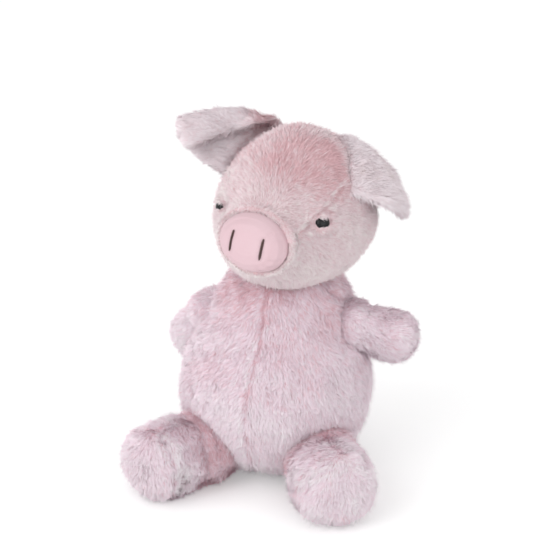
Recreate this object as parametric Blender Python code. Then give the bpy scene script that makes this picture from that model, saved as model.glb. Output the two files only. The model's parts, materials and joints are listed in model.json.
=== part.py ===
"""A seated plush pig, built as its sewn covers, its fillings and its small fittings.

The pig sits on +Z up and faces -Y, with its own left side at +X. Metres throughout.
The origin is the middle of the flat seat. Each limb, the head, the ears and the tail
are parented to an empty that stands on their joint.
"""
import bpy
import bmesh
from math import asin, atan2, cos, pi, radians, sin, sqrt
from mathutils import Matrix, Vector
from mathutils.bvhtree import BVHTree

SIDES = (("left", 1), ("right", -1))

# Cloth, fits and roundness
COVER_WALL = 0.0025           # plush backing with the foot of its pile
VELOUR_WALL = 0.0018          # the thinner cloth of the snout pad
SEAM_GAP = 0.0003             # between two sewn edges, and between a limb's ball and its seat
FILL_GAP = 0.0006             # between a cover and the filling behind it
LIMB_FILL_GAP = 0.0012        # the same in a limb, which is pressed out of round
REST_CUT = 0.0005             # how deep the soft forms are cut flat where they rest
PRESS_GAP = 0.0009            # between a limb and the belly that it lies against
OVERRUN = 0.004               # how far a cutter passes the face that it cuts
BODY_SEGMENTS = 32
HEAD_SEGMENTS = 32
LIMB_SEGMENTS = 20
FILL_SEGMENTS = 16
LAST_RING_SHARE = 0.96        # of a half turn, where a ball's last ring lies before its pole
SHARP_EDGE = radians(40)      # creases sharper than this stay sharp when shaded

# Body: a pear that carries a round neck dome
BODY_HALF_WIDTH = 0.077
BODY_HALF_DEPTH = 0.0735
SEAT_RADIUS = 0.018
NECK_HEIGHT = 0.127            # the pivot in the middle of the neck dome
NECK_ASIDE = 0.004             # towards the pig's left
NECK_BACK = 0.012              # behind the middle of the seat
NECK_DOME_RADIUS = 0.054
NECK_DOME_EDGE = radians(62)   # how far down the dome stays a true ball
NECK_OPENING = radians(30)     # the open neck of the body cover
NECK_DOME_RINGS = 5
NECK_PLUG_RINGS = 4
# Height as a share of the pivot's height, radius as a share of the body's, lean to the neck dome
PEAR_SHARES = [(0.016, 0.338, 0.0), (0.047, 0.500, 0.0), (0.110, 0.695, 0.0), (0.213, 0.855, 0.0),
               (0.346, 0.957, 0.0), (0.504, 1.0, 0.0), (0.630, 1.020, 0.10), (0.756, 1.046, 0.33),
               (0.874, 1.063, 0.60), (0.976, 1.048, 0.80), (1.071, 0.997, 0.92)]

# Pellet bag that weighs the seat
BAG_RADIUS = 0.039
BAG_HEIGHT = 0.030
BAG_SHARES = [(0.0, 0.38), (0.10, 0.58), (0.28, 0.84), (0.50, 1.0), (0.72, 0.93), (0.90, 0.72),
              (0.98, 0.42)]

# Head: back of the skull, cheeks, muzzle and the domed snout pad at its end
HEAD_LIFT = 0.090              # the head's centre above the neck's pivot
HEAD_ASIDE = 0.006             # towards the pig's left
HEAD_BACK = 0.013              # behind the neck's pivot
HEAD_TURN = radians(-7.5)      # the face looks a little to its own right
SKULL_BACK = 0.060
HEAD_HALF_WIDTH = 0.0615
HEAD_HALF_HEIGHT = 0.0620
MUZZLE_LENGTH = 0.076          # from the head's centre to the pad's seam
MUZZLE_DROP = 0.0080
MUZZLE_PITCH = radians(12)     # the pad looks up a little
MUZZLE_ROLL = radians(-7)
PAD_HALF_WIDTH = 0.0290
PAD_HALF_HEIGHT = 0.0228
PAD_BULGE = 0.0140
CHEEK_SHARE = 0.12             # how much fuller the head is low down than high up
# Behind the centre: distance as a share of the skull's back, radius as a share of the head's
SKULL_SHARES = [(0.97, 0.26), (0.88, 0.49), (0.72, 0.71), (0.50, 0.875), (0.25, 0.97), (0.0, 1.0)]
# From the centre to the face: share of the muzzle's length, width, height, drop and cheek
FACE_SHARES = [(0.20, 0.985, 0.980, 0.10, 1.0), (0.38, 0.930, 0.920, 0.30, 1.0),
               (0.53, 0.840, 0.830, 0.60, 0.8), (0.65, 0.725, 0.715, 0.85, 0.5),
               (0.74, 0.620, 0.590, 1.00, 0.2), (0.83, 0.555, 0.490, 1.00, 0.0)]
MUZZLE_RIM_SHARES = [(0.92, 1.12, 1.12), (0.975, 1.07, 1.07)]  # of the length and the pad's halves
PAD_DOME_SHARES = [(0.0, 1.0), (0.30, 0.965), (0.60, 0.86), (0.83, 0.665), (0.96, 0.38)]

# Nostrils, two bars of thread on the pad
NOSTRIL_SPACING = 0.0255
NOSTRIL_LENGTH = 0.0155
NOSTRIL_WIDTH = 0.0017
NOSTRIL_HEIGHT = 0.0012
NOSTRIL_RAISE = -0.0005        # above the middle of the pad
NOSTRIL_SEGMENTS = 6
NOSTRIL_STEPS = 6
NOSTRIL_END_SHARE = 0.10       # how full the bar still is at its ends

# Eyes: a domed button, its stem and the washer that locks it inside the cover
EYE_AZIMUTH = radians(42.5)
EYE_ELEVATION = radians(4.5)
EYE_RADIUS = 0.0057
EYE_DOME = 0.0042
EYE_RIM = 0.0008
STEM_RADIUS = 0.0016
STEM_LENGTH = 0.0105
WASHER_RADIUS = 0.0065
WASHER_THICKNESS = 0.0015
WASHER_LIFT = 0.0016           # between the cover's inner side and the washer
POCKET_GAP = 0.0006
EYE_LIFT = 0.0004              # between the cover and the button's flat back
WASHER_BORE_GAP = 0.0002
EYE_SEGMENTS = 16
EYE_STEPS = 5

# Ears: two plush leaves sewn back to back
EAR_LENGTH = 0.066
EAR_THICKNESS = 0.0052
# From the head's centre to the two ends of the sewn edge
EAR_TOP_DIRECTION = Vector((0.36, 0.39, 0.83))
EAR_FRONT_DIRECTION = Vector((0.87, -0.30, 0.36))
EAR_ROUNDING = 0.0045          # edge radius of the sewn leaf
EAR_SEAT_GAP = 0.0004          # between the sewn edge and the head
EAR_TURN = radians(58)         # how far the leaf curves to the front along its length
EAR_GROWTH_SHARE = 0.32        # of the length, over which the fold grows from the base
EAR_EDGE_SHARE = 0.16          # how thick a leaf still is at its edge
EAR_COLUMNS = 13
EAR_ROWS = 10
# Width along the ear, from base to tip
EAR_OUTLINE_SHARES = [1.0, 1.05, 1.11, 1.16, 1.18, 1.17, 1.10, 0.98, 0.78, 0.44]
# The left ear lies over, the right ear stands out and its upper half folds down in front
EAR_START = {"left": radians(68), "right": radians(-14)}
EAR_BEND = {"left": radians(48), "right": radians(26)}
EAR_CURL = {"left": radians(-10), "right": radians(170)}
EAR_FOLD_SHARE = {"left": 0.30, "right": 0.86}  # of the width, where the fold starts at the base
EAR_FOLD_TIP_SHARE = {"left": 0.30, "right": 0.12}  # the same at the tip
EAR_ROLL_SHARE = {"left": 0.60, "right": 0.50}  # of what lies past the start of the fold

# Arms
ARM_BALL = 0.0200
ARM_REACH = 0.053              # from the shoulder joint to the paw's end
ARM_HEIGHT_LEFT = 0.125
ARM_HEIGHT_RIGHT = 0.120
ARM_HEIGHT = {"left": ARM_HEIGHT_LEFT, "right": ARM_HEIGHT_RIGHT}
ARM_FORWARD = 0.002            # how far the shoulders lie in front of the neck's plane
ARM_SINK_SHARE = {"left": 0.10, "right": 0.225}  # of the ball, how deep the joint lies in the body
ARM_DROOP_LEFT = radians(10)   # the left arm is held out
ARM_OFF_BELLY = radians(26.1)  # the right arm hangs this far out from the belly's side
ARM_BACK = {"left": radians(5), "right": radians(25)}
ARM_SHARES = [(0.19, 0.82), (0.36, 0.885), (0.58, 0.945), (0.75, 0.895), (0.88, 0.70), (0.97, 0.38)]

# Legs, with a round sole panel at the end of each
LEG_BALL = 0.0290
LEG_REACH = 0.065              # from the hip joint to the sole's end
LEG_OUT = 0.006                # the hip joint lies this far outside the body's skin
HIP_SPLAY = {"left": radians(50), "right": radians(37)}  # where the hips lie, round from the front
LEG_SPLAY = {"left": radians(30), "right": radians(37)}  # where the legs point
FOOT_RADIUS = 0.0315
FOOT_HEIGHT_SHARE = 0.945      # the feet are a little wider than high
SOLE_SEAM_SHARE = 0.66         # of the reach
SOLE_SEAM_DIP = 0.0010
LEG_SHARES = [(0.17, 0.845), (0.27, 0.935), (0.38, 0.985), (0.50, 1.0), (0.60, 1.0)]
SOLE_SHARES = [(0.72, 0.985), (0.80, 0.915), (0.88, 0.78), (0.945, 0.58), (0.985, 0.32)]

LIMB_OPENING = radians(35)     # the open root of each limb's cover
LIMB_BALL_END = radians(100)   # how far round from the root a limb stays a true ball
LIMB_BALL_RINGS = 4
LIMB_PLUG_RINGS = 3
PRESS_START_SHARE = 0.33       # of the ball, how far along a limb the belly starts to press it

# Tail, a small curl of stuffed cloth
TAIL_RADIUS = 0.0040
TAIL_TIP_RADIUS = 0.0026
TAIL_HEIGHT = 0.052
TAIL_OUT = 0.0028
TAIL_ROOT_LENGTH = 0.009
TAIL_CURL_RADIUS = 0.0072
TAIL_CURL_PITCH = 0.0105
TAIL_CURL_TURNS = 1.1
TAIL_SEGMENTS = 10
TAIL_STEPS = 22
TAIL_CAP_RINGS = 3
TAIL_END_SHARE = 0.88          # of the length, where the tip starts to close
TAIL_POINT_SHARE = 0.22        # how thick the tip still is, squared, where it closes

# Colour and roughness of each cloth, thread and button
PLUSH_PINK = ((0.72, 0.50, 0.54, 1.0), 0.95)
PLUSH_PALE = ((0.76, 0.62, 0.64, 1.0), 0.95)
VELOUR_PINK = ((0.85, 0.55, 0.53, 1.0), 0.85)
FILLING_WHITE = ((0.90, 0.89, 0.86, 1.0), 1.0)
BAG_CLOTH = ((0.78, 0.76, 0.70, 1.0), 0.9)
THREAD_BROWN = ((0.10, 0.05, 0.04, 1.0), 0.7)
EYE_BLACK = ((0.01, 0.01, 0.012, 1.0), 0.12)
WASHER_WHITE = ((0.80, 0.80, 0.78, 1.0), 0.5)

NECK_PIVOT = Vector((NECK_ASIDE, NECK_BACK, NECK_HEIGHT))
HEAD_CENTRE = NECK_PIVOT + Vector((HEAD_ASIDE, HEAD_BACK, HEAD_LIFT))


def clear_scene():
    for old in list(bpy.data.objects):
        bpy.data.objects.remove(old, do_unlink=True)


def finish(name, look):
    colour, roughness = look
    material = bpy.data.materials.new(name)
    material.use_nodes = True
    shader = material.node_tree.nodes["Principled BSDF"]
    shader.inputs["Base Color"].default_value = colour
    shader.inputs["Roughness"].default_value = roughness
    shader.inputs["Metallic"].default_value = 0.0
    material.diffuse_color = colour
    return material


def face_out(mesh_source):
    mesh_source.normal_update()
    bmesh.ops.recalc_face_normals(mesh_source, faces=mesh_source.faces)


def piece(name, mesh_source, look, parent=None):
    """An object from a bmesh whose points are in the parent's own axes."""
    face_out(mesh_source)
    mesh = bpy.data.meshes.new(name)
    mesh_source.to_mesh(mesh)
    mesh_source.free()
    mesh.shade_smooth()
    mesh.set_sharp_from_angle(angle=SHARP_EDGE)
    mesh.materials.append(finish(name, look))
    thing = bpy.data.objects.new(name, mesh)
    bpy.context.collection.objects.link(thing)
    thing.parent = parent
    return thing


def pivot(name, place, turn, parent=None):
    """An empty on a joint. Its own Z axis runs along the limb that it carries."""
    mark = bpy.data.objects.new(name, None)
    mark.empty_display_size = SEAT_RADIUS
    bpy.context.collection.objects.link(mark)
    mark.parent = parent
    bpy.context.view_layer.update()
    mark.matrix_world = at(place, turn)
    return mark


def guide(name, mesh_source, parent=None):
    """A cutter: it shapes other pieces and isn't one itself."""
    face_out(mesh_source)
    mesh = bpy.data.meshes.new(name)
    mesh_source.to_mesh(mesh)
    mesh_source.free()
    thing = bpy.data.objects.new(name, mesh)
    bpy.context.collection.objects.link(thing)
    thing.parent = parent
    thing.hide_render = True
    thing.display_type = "WIRE"
    return thing


def cut(thing, cutter):
    subtract = thing.modifiers.new("cut_" + cutter.name, "BOOLEAN")
    subtract.operation = "DIFFERENCE"
    subtract.solver = "EXACT"
    subtract.object = cutter


class Station:
    """One ring of a swelling form, at the distance s along its axis."""

    def __init__(self, s, a, b, shift=(0.0, 0.0), tilt=0.0, roll=0.0, cheek=0.0):
        self.s, self.a, self.b = s, a, b
        self.shift, self.tilt, self.roll, self.cheek = shift, tilt, roll, cheek

    def moved(self, s, a, b):
        return Station(s, a, b, self.shift, self.tilt, self.roll, self.cheek)


def slope(stations, index, side):
    """How fast the radius grows along the axis at one station."""
    low = stations[max(index - 1, 0)]
    high = stations[min(index + 1, len(stations) - 1)]
    run = high.s - low.s
    rise = getattr(high, side) - getattr(low, side)
    length = sqrt(run * run + rise * rise)
    return run / length, rise / length


def inset(stations, depth):
    """The same form, a cloth's thickness further in, measured square to its skin."""
    inner = []
    for index, ring in enumerate(stations):
        run_a, rise_a = slope(stations, index, "a")
        run_b, rise_b = slope(stations, index, "b")
        along = depth * (rise_a + rise_b) / 2
        inner.append(ring.moved(ring.s + along, ring.a - depth * run_a, ring.b - depth * run_b))
    return inner


def every_second(stations):
    """Fewer rings, for the fillings, with both ends kept."""
    return stations[:-1:2] + [stations[-1]]


def ring_points(ring, segments, place, depth):
    points = []
    for step in range(segments):
        angle = 2 * pi * step / segments
        across = ring.a * cos(angle) * (1 - ring.cheek * sin(angle))
        up = ring.b * sin(angle)
        rolled = across * cos(ring.roll) - up * sin(ring.roll)
        raised = across * sin(ring.roll) + up * cos(ring.roll)
        points.append(place(ring, rolled, raised, depth))
    return points


def upright(ring, across, up, depth=0.0):
    """Axis along Z, for the body, the bag and the limbs in their own axes."""
    return Vector((ring.shift[0] + across, ring.shift[1] + up, ring.s))


def facing(ring, across, up, depth=0.0):
    """Axis along the face, which looks down -Y. A tilted ring leans its top back."""
    lean = up * sin(ring.tilt)
    return Vector((ring.shift[0] + across, lean - ring.s, ring.shift[1] + up * cos(ring.tilt)))


class Pressed:
    """A limb in its own axes, pressed flat against the belly beside it and the ground below it."""

    def __init__(self, frame, belly, ball):
        self.frame, self.back, self.belly, self.ball = frame, frame.inverted(), belly, ball

    def __call__(self, ring, across, up, depth=0.0):
        round_point = upright(ring, across, up)
        point = self.frame @ round_point
        if ring.s > self.ball * PRESS_START_SHARE:
            near, outward, _, _ = self.belly.find_nearest(point)
            if (point - near).dot(outward) < PRESS_GAP + depth:
                point = near + outward * (PRESS_GAP + depth)
        point.z = max(point.z, depth)
        point = self.back @ point
        turning = self.ball - depth
        if round_point.length < self.ball and point.length > turning:
            point *= turning / point.length
        return point


def skin(mesh, stations, segments, place, depth=0.0, flip=False):
    """The side wall through all the stations. Returns its rings of vertices."""
    rings = []
    for ring in stations:
        rings.append([mesh.verts.new(point) for point in ring_points(ring, segments, place, depth)])
    for low, high in zip(rings, rings[1:]):
        for step in range(segments):
            after = (step + 1) % segments
            corners = [low[step], low[after], high[after], high[step]]
            mesh.faces.new(corners[::-1] if flip else corners)
    return rings


def close_end(mesh, ring, peak):
    """A fan from a ring to one point on the axis."""
    tip = mesh.verts.new(peak)
    for step in range(len(ring)):
        mesh.faces.new([ring[step], ring[(step + 1) % len(ring)], tip])


def bridge(mesh, ring, other):
    for step in range(len(ring)):
        after = (step + 1) % len(ring)
        mesh.faces.new([ring[step], ring[after], other[after], other[step]])


def axis_point(ring, s, place):
    return place(ring.moved(s, ring.a, ring.b), 0.0, 0.0)


def solid(stations, segments, place, start_s, end_s, depth=0.0):
    """A closed form with a point or a flat at each end."""
    mesh = bmesh.new()
    rings = skin(mesh, stations, segments, place, depth)
    close_end(mesh, rings[0], axis_point(stations[0], start_s, place))
    close_end(mesh, rings[-1], axis_point(stations[-1], end_s, place))
    return mesh


def cover(stations, wall, segments, place, start_s=None, end_s=None):
    """A sewn shell of one cloth thickness. An end without a closing point is left open."""
    mesh = bmesh.new()
    outer = skin(mesh, stations, segments, place)
    lining = inset(stations, wall)
    inner = skin(mesh, lining, segments, place, wall, flip=True)
    for index, s in ((0, start_s), (-1, end_s)):
        if s is None:
            bridge(mesh, outer[index], inner[index])
            continue
        inward = wall if index == 0 else -wall
        close_end(mesh, outer[index], axis_point(stations[index], s, place))
        close_end(mesh, inner[index], axis_point(lining[index], s + inward, place))
    return mesh


def ball_stations(radius, first, last, count, shift=(0.0, 0.0), centre=0.0):
    """Rings of a true ball, from one polar angle to another, measured from the far end."""
    rings = []
    for step in range(count):
        polar = first + (last - first) * step / (count - 1)
        wide = radius * sin(polar)
        rings.append(Station(centre - radius * cos(polar), wide, wide, shift))
    return rings


def ball_mesh(radius, segments):
    """A faceted ball whose flats, not its corners, lie at the radius."""
    mesh = bmesh.new()
    half_step = pi / segments
    rings = segments // 2
    bmesh.ops.create_uvsphere(mesh, u_segments=segments, v_segments=rings,
                              radius=radius / (cos(half_step) * cos(half_step)))
    return mesh


def body_stations():
    """From the seat up to the top of the neck dome."""
    rings = [Station(0.0, SEAT_RADIUS, SEAT_RADIUS * BODY_HALF_DEPTH / BODY_HALF_WIDTH)]
    for height_share, radius_share, lean_share in PEAR_SHARES:
        wide = BODY_HALF_WIDTH + (NECK_DOME_RADIUS - BODY_HALF_WIDTH) * lean_share
        deep = BODY_HALF_DEPTH + (NECK_DOME_RADIUS - BODY_HALF_DEPTH) * lean_share
        shift = (NECK_PIVOT.x * lean_share, NECK_PIVOT.y * lean_share)
        rings.append(Station(NECK_PIVOT.z * height_share, wide * radius_share, deep * radius_share, shift))
    dome = ball_stations(NECK_DOME_RADIUS, pi - NECK_DOME_EDGE, pi - NECK_OPENING, NECK_DOME_RINGS,
                         (NECK_PIVOT.x, NECK_PIVOT.y), NECK_PIVOT.z)
    return rings + dome


def build_body():
    stations = body_stations()
    shell = cover(stations, COVER_WALL, BODY_SEGMENTS, upright, start_s=0.0)
    body_cover = piece("body_cover", shell, PLUSH_PINK)
    core = every_second(inset(stations, COVER_WALL + FILL_GAP))
    plug = inset(stations, COVER_WALL)[-1].a - FILL_GAP
    neck = ball_stations(NECK_DOME_RADIUS, pi - asin(plug / NECK_DOME_RADIUS), pi * LAST_RING_SHARE,
                         NECK_PLUG_RINGS, (NECK_PIVOT.x, NECK_PIVOT.y), NECK_PIVOT.z)
    throat = core[-1].moved(core[-1].s, plug, plug)
    filling = solid(core[:-1] + [throat] + neck, FILL_SEGMENTS, upright, COVER_WALL + FILL_GAP,
                    NECK_PIVOT.z + NECK_DOME_RADIUS)
    body_stuffing = piece("body_stuffing", filling, FILLING_WHITE)
    return body_cover, body_stuffing


def build_pellet_bag(body_stuffing):
    floor = COVER_WALL + FILL_GAP
    rings = [Station(floor + BAG_HEIGHT * height, BAG_RADIUS * radius, BAG_RADIUS * radius)
             for height, radius in BAG_SHARES]
    sack = solid(rings, FILL_SEGMENTS, upright, floor, floor + BAG_HEIGHT)
    piece("pellet_bag", sack, BAG_CLOTH)
    roomy = inset(rings, -FILL_GAP)
    below = roomy[0].moved(floor - OVERRUN, roomy[0].a, roomy[0].b)
    nest = solid([below] + roomy, FILL_SEGMENTS, upright, floor - OVERRUN, floor + BAG_HEIGHT + FILL_GAP)
    cut(body_stuffing, guide("pellet_bag_nest", nest))


def head_stations():
    """From the back of the skull to the pad's seam."""
    rings = []
    for back, radius in SKULL_SHARES:
        rings.append(Station(-SKULL_BACK * back, HEAD_HALF_WIDTH * radius, HEAD_HALF_HEIGHT * radius,
                             cheek=CHEEK_SHARE * radius))
    for forward, width, height, drop, cheek in FACE_SHARES:
        rings.append(Station(MUZZLE_LENGTH * forward, HEAD_HALF_WIDTH * width, HEAD_HALF_HEIGHT * height,
                             (0.0, -MUZZLE_DROP * drop), MUZZLE_PITCH * drop * forward,
                             MUZZLE_ROLL * drop * forward, CHEEK_SHARE * cheek))
    for forward, width, height in MUZZLE_RIM_SHARES:
        rings.append(Station(MUZZLE_LENGTH * forward, PAD_HALF_WIDTH * width, PAD_HALF_HEIGHT * height,
                             (0.0, -MUZZLE_DROP), MUZZLE_PITCH * forward, MUZZLE_ROLL * forward))
    return rings


def pad_stations():
    rings = []
    for bulge, radius in PAD_DOME_SHARES:
        shift = (0.0, PAD_BULGE * bulge * sin(MUZZLE_PITCH) - MUZZLE_DROP)
        rings.append(Station(MUZZLE_LENGTH + PAD_BULGE * bulge, PAD_HALF_WIDTH * radius,
                             PAD_HALF_HEIGHT * radius, shift, MUZZLE_PITCH, MUZZLE_ROLL))
    return rings


def build_head(neck, seat):
    """The head's meshes stand round the head's centre, which is lifted off the neck's pivot."""
    face = head_stations()
    pad = pad_stations()
    apex = MUZZLE_LENGTH + PAD_BULGE
    edge = pad[0].moved(pad[0].s - SEAM_GAP, pad[0].a, pad[0].b)
    shell = cover(face + [edge], COVER_WALL, HEAD_SEGMENTS, facing, start_s=-SKULL_BACK)
    shell.transform(seat)
    head_cover = piece("head_cover", shell, PLUSH_PINK, neck)
    cap = cover(pad, VELOUR_WALL, HEAD_SEGMENTS, facing, end_s=apex)
    cap.transform(seat)
    piece("snout_pad", cap, VELOUR_PINK, neck)
    core = inset(face + pad, COVER_WALL + FILL_GAP)
    filling = solid(core, FILL_SEGMENTS, facing, COVER_WALL + FILL_GAP - SKULL_BACK,
                    apex - COVER_WALL - FILL_GAP, COVER_WALL + FILL_GAP)
    filling.transform(seat)
    head_stuffing = piece("head_stuffing", filling, FILLING_WHITE, neck)
    socket = guide("neck_socket", ball_mesh(NECK_DOME_RADIUS + SEAM_GAP, BODY_SEGMENTS), neck)
    cut(head_cover, socket)
    cut(head_stuffing, socket)
    return head_cover, head_stuffing


def skin_tree(mesh):
    """A search tree of a form's outer skin."""
    face_out(mesh)
    tree = BVHTree.FromBMesh(mesh)
    mesh.free()
    return tree


def aim(direction):
    """A turn whose Z axis runs along a direction and whose Y axis looks up as far as it can."""
    along = direction.normalized()
    across = Vector((0.0, 0.0, 1.0)).cross(along).normalized()
    return Matrix((across, along.cross(across), along)).transposed()


def at(place, turn):
    return Matrix.Translation(place) @ turn.to_4x4()


def on_skin(tree, centre, direction):
    """Where a ray from a form's middle leaves it, and the skin's own direction there."""
    place, outward, _, _ = tree.ray_cast(centre, direction.normalized())
    return place, outward


def rod(radius, low, high, segments):
    ends = [Station(low, radius, radius), Station(high, radius, radius)]
    return solid(ends, segments, upright, low, high)


def washer_mesh(inner, outer, low, high, segments):
    mesh = bmesh.new()
    corners = [Station(low, outer, outer), Station(high, outer, outer),
               Station(high, inner, inner), Station(low, inner, inner)]
    rings = skin(mesh, corners, segments, upright)
    bridge(mesh, rings[-1], rings[0])
    return mesh


def eye_mesh():
    rings = [Station(-STEM_LENGTH, STEM_RADIUS, STEM_RADIUS), Station(0.0, STEM_RADIUS, STEM_RADIUS),
             Station(0.0, EYE_RADIUS, EYE_RADIUS)]
    for step in range(EYE_STEPS):
        rise = (pi / 2) * step / EYE_STEPS
        height = EYE_RIM + (EYE_DOME - EYE_RIM) * sin(rise)
        rings.append(Station(height, EYE_RADIUS * cos(rise), EYE_RADIUS * cos(rise)))
    return solid(rings, EYE_SEGMENTS, upright, -STEM_LENGTH, EYE_DOME)


def build_eyes(neck, seat, head_tree, head_cover, head_stuffing):
    centre = seat.to_translation()
    back_of_wall = -(COVER_WALL + WASHER_LIFT)
    for side, sign in SIDES:
        level = cos(EYE_ELEVATION)
        look = Vector((sign * sin(EYE_AZIMUTH) * level, -cos(EYE_AZIMUTH) * level, sin(EYE_ELEVATION)))
        place, outward = on_skin(head_tree, centre, look)
        frame = at(place + outward * EYE_LIFT, aim(outward))
        button = eye_mesh()
        button.transform(frame)
        piece("eye_" + side, button, EYE_BLACK, neck)
        ring = washer_mesh(STEM_RADIUS + WASHER_BORE_GAP, WASHER_RADIUS, back_of_wall - WASHER_THICKNESS,
                           back_of_wall, EYE_SEGMENTS)
        ring.transform(frame)
        piece("eye_washer_" + side, ring, WASHER_WHITE, neck)
        hole = rod(STEM_RADIUS + SEAM_GAP, back_of_wall - OVERRUN, OVERRUN, EYE_SEGMENTS)
        hole.transform(frame)
        cut(head_cover, guide("eye_hole_" + side, hole, neck))
        pocket = rod(WASHER_RADIUS + POCKET_GAP, -(STEM_LENGTH + POCKET_GAP), OVERRUN, EYE_SEGMENTS)
        pocket.transform(frame)
        cut(head_stuffing, guide("eye_pocket_" + side, pocket, neck))


def build_nostrils(neck, seat, head_tree):
    """Two short bars of thread that follow the dome of the pad."""
    seam = pad_stations()[0]
    for side, sign in SIDES:
        mesh = bmesh.new()
        rings = []
        for step in range(NOSTRIL_STEPS + 1):
            share = step / NOSTRIL_STEPS
            up = NOSTRIL_LENGTH * (share - 1 / 2) + NOSTRIL_RAISE
            across = sign * NOSTRIL_SPACING / 2
            rolled = across * cos(seam.roll) - up * sin(seam.roll)
            raised = across * sin(seam.roll) + up * cos(seam.roll)
            start = seat @ facing(seam, rolled, raised)
            forward = Vector((0.0, -cos(seam.tilt), sin(seam.tilt)))
            place, outward = on_skin(head_tree, start, forward)
            width_way = (outward.cross(Vector((0.0, 0.0, 1.0)))).normalized()
            full = sqrt(max(1 - (2 * share - 1) ** 4, NOSTRIL_END_SHARE))
            ring = []
            for corner in range(NOSTRIL_SEGMENTS):
                angle = pi * corner / (NOSTRIL_SEGMENTS - 1)
                wide = cos(angle) * NOSTRIL_WIDTH / 2 * full
                high = SEAM_GAP + sin(angle) * NOSTRIL_HEIGHT * full
                ring.append(mesh.verts.new(place + width_way * wide + outward * high))
            rings.append(ring)
        for low, high in zip(rings, rings[1:]):
            bridge(mesh, low, high)
        mesh.faces.new(rings[0])
        mesh.faces.new(rings[-1])
        piece("nostril_stitch_" + side, mesh, THREAD_BROWN, neck)


def ease(value):
    value = min(max(value, 0.0), 1.0)
    return value * value * (3 - 2 * value)


def outline_share(table, position):
    """A smooth reading between the rows of a table of shares."""
    place = position * (len(table) - 1)
    low = min(int(place), len(table) - 2)
    blend = place - low
    return table[low] * (1 - blend) + table[low + 1] * blend


class Ear:
    """The mid surface of one ear, worked out for the left side and mirrored for the right."""

    def __init__(self, side, centre, head_tree):
        self.side, self.centre, self.head_tree = side, centre, head_tree
        front_end, top_end = self.seat(0.0), self.seat(1.0)
        self.middle = self.seat(1 / 2)
        self.across = (top_end - front_end).normalized()
        self.width = (top_end - front_end).length
        straight = (self.middle - centre).normalized()
        self.outward = (straight - self.across * straight.dot(self.across)).normalized()
        self.behind = self.across.cross(self.outward)
        self.hinge = (self.middle + (front_end + top_end) / 2) / 2

    def seat(self, position):
        """A point of the sewn edge, from its front end at 0 to its top end at 1."""
        look = EAR_FRONT_DIRECTION.normalized().slerp(EAR_TOP_DIRECTION.normalized(), position)
        place, outward = on_skin(self.head_tree, self.centre, look)
        return place + outward * (EAR_THICKNESS / 2 * EAR_EDGE_SHARE + EAR_SEAT_GAP)

    def fold(self, share):
        """Where the fold starts and ends across the ear, at one share of its length."""
        start = outline_share((EAR_FOLD_SHARE[self.side], EAR_FOLD_TIP_SHARE[self.side]), share)
        return start, start + (1 - start) * EAR_ROLL_SHARE[self.side]

    def columns(self, share):
        """The columns' places across the ear: half before the fold, a quarter round and after it."""
        start, end = self.fold(share)
        knots = (0.0, start / 2, start, end, 1.0)
        return [outline_share(knots, column / (EAR_COLUMNS - 1)) for column in range(EAR_COLUMNS)]

    def axes(self, share):
        """Along the ear, across it and out of its front, at one share of its length."""
        lean = EAR_START[self.side] + EAR_BEND[self.side] * share
        turn = EAR_TURN * share
        straight = self.outward * cos(lean) + self.behind * sin(lean)
        front_way = self.outward * sin(lean) - self.behind * cos(lean)
        along = straight * cos(turn) - self.across * sin(turn)
        aside = self.across * cos(turn) + straight * sin(turn)
        return along, aside, front_way

    def row(self, share, spine):
        """The points across the ear at one share of its length, from front edge to top edge."""
        _, aside, front_way = self.axes(share)
        wide = self.width * outline_share(EAR_OUTLINE_SHARES, share)
        curl = EAR_CURL[self.side] * ease(share / EAR_GROWTH_SHARE)
        start, end = self.fold(share)
        places = self.columns(share)
        reached, lift = -wide / 2, 0.0
        points = []
        for place, after, seated in zip(places, places[1:] + [1.0], self.columns(0.0)):
            chord = self.middle + self.across * self.width * (seated - 1 / 2)
            bow = (self.seat(seated) - chord) * (1 - share) ** 2
            points.append(spine + aside * reached + front_way * lift + bow)
            turn = curl * ease(((place + after) / 2 - start) / (end - start))
            reached += cos(turn) * wide * (after - place)
            lift += sin(turn) * wide * (after - place)
        return points

    def grid(self):
        """Row by row from the sewn edge to the tip, along a middle line that leans and turns."""
        steps = EAR_ROWS - 1
        spine = self.middle
        rows = [self.row(0.0, spine)]
        for row in range(1, EAR_ROWS):
            along = self.axes((row - 1 / 2) / steps)[0]
            spine = spine + along * EAR_LENGTH / steps
            rows.append(self.row(row / steps, spine))
        return rows


def grid_normals(grid):
    normals = []
    for row, points in enumerate(grid):
        line = []
        for column in range(len(points)):
            ahead = grid[min(row + 1, len(grid) - 1)][column] - grid[max(row - 1, 0)][column]
            aside = points[min(column + 1, len(points) - 1)] - points[max(column - 1, 0)]
            line.append(ahead.cross(aside).normalized())
        normals.append(line)
    return normals


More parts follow.
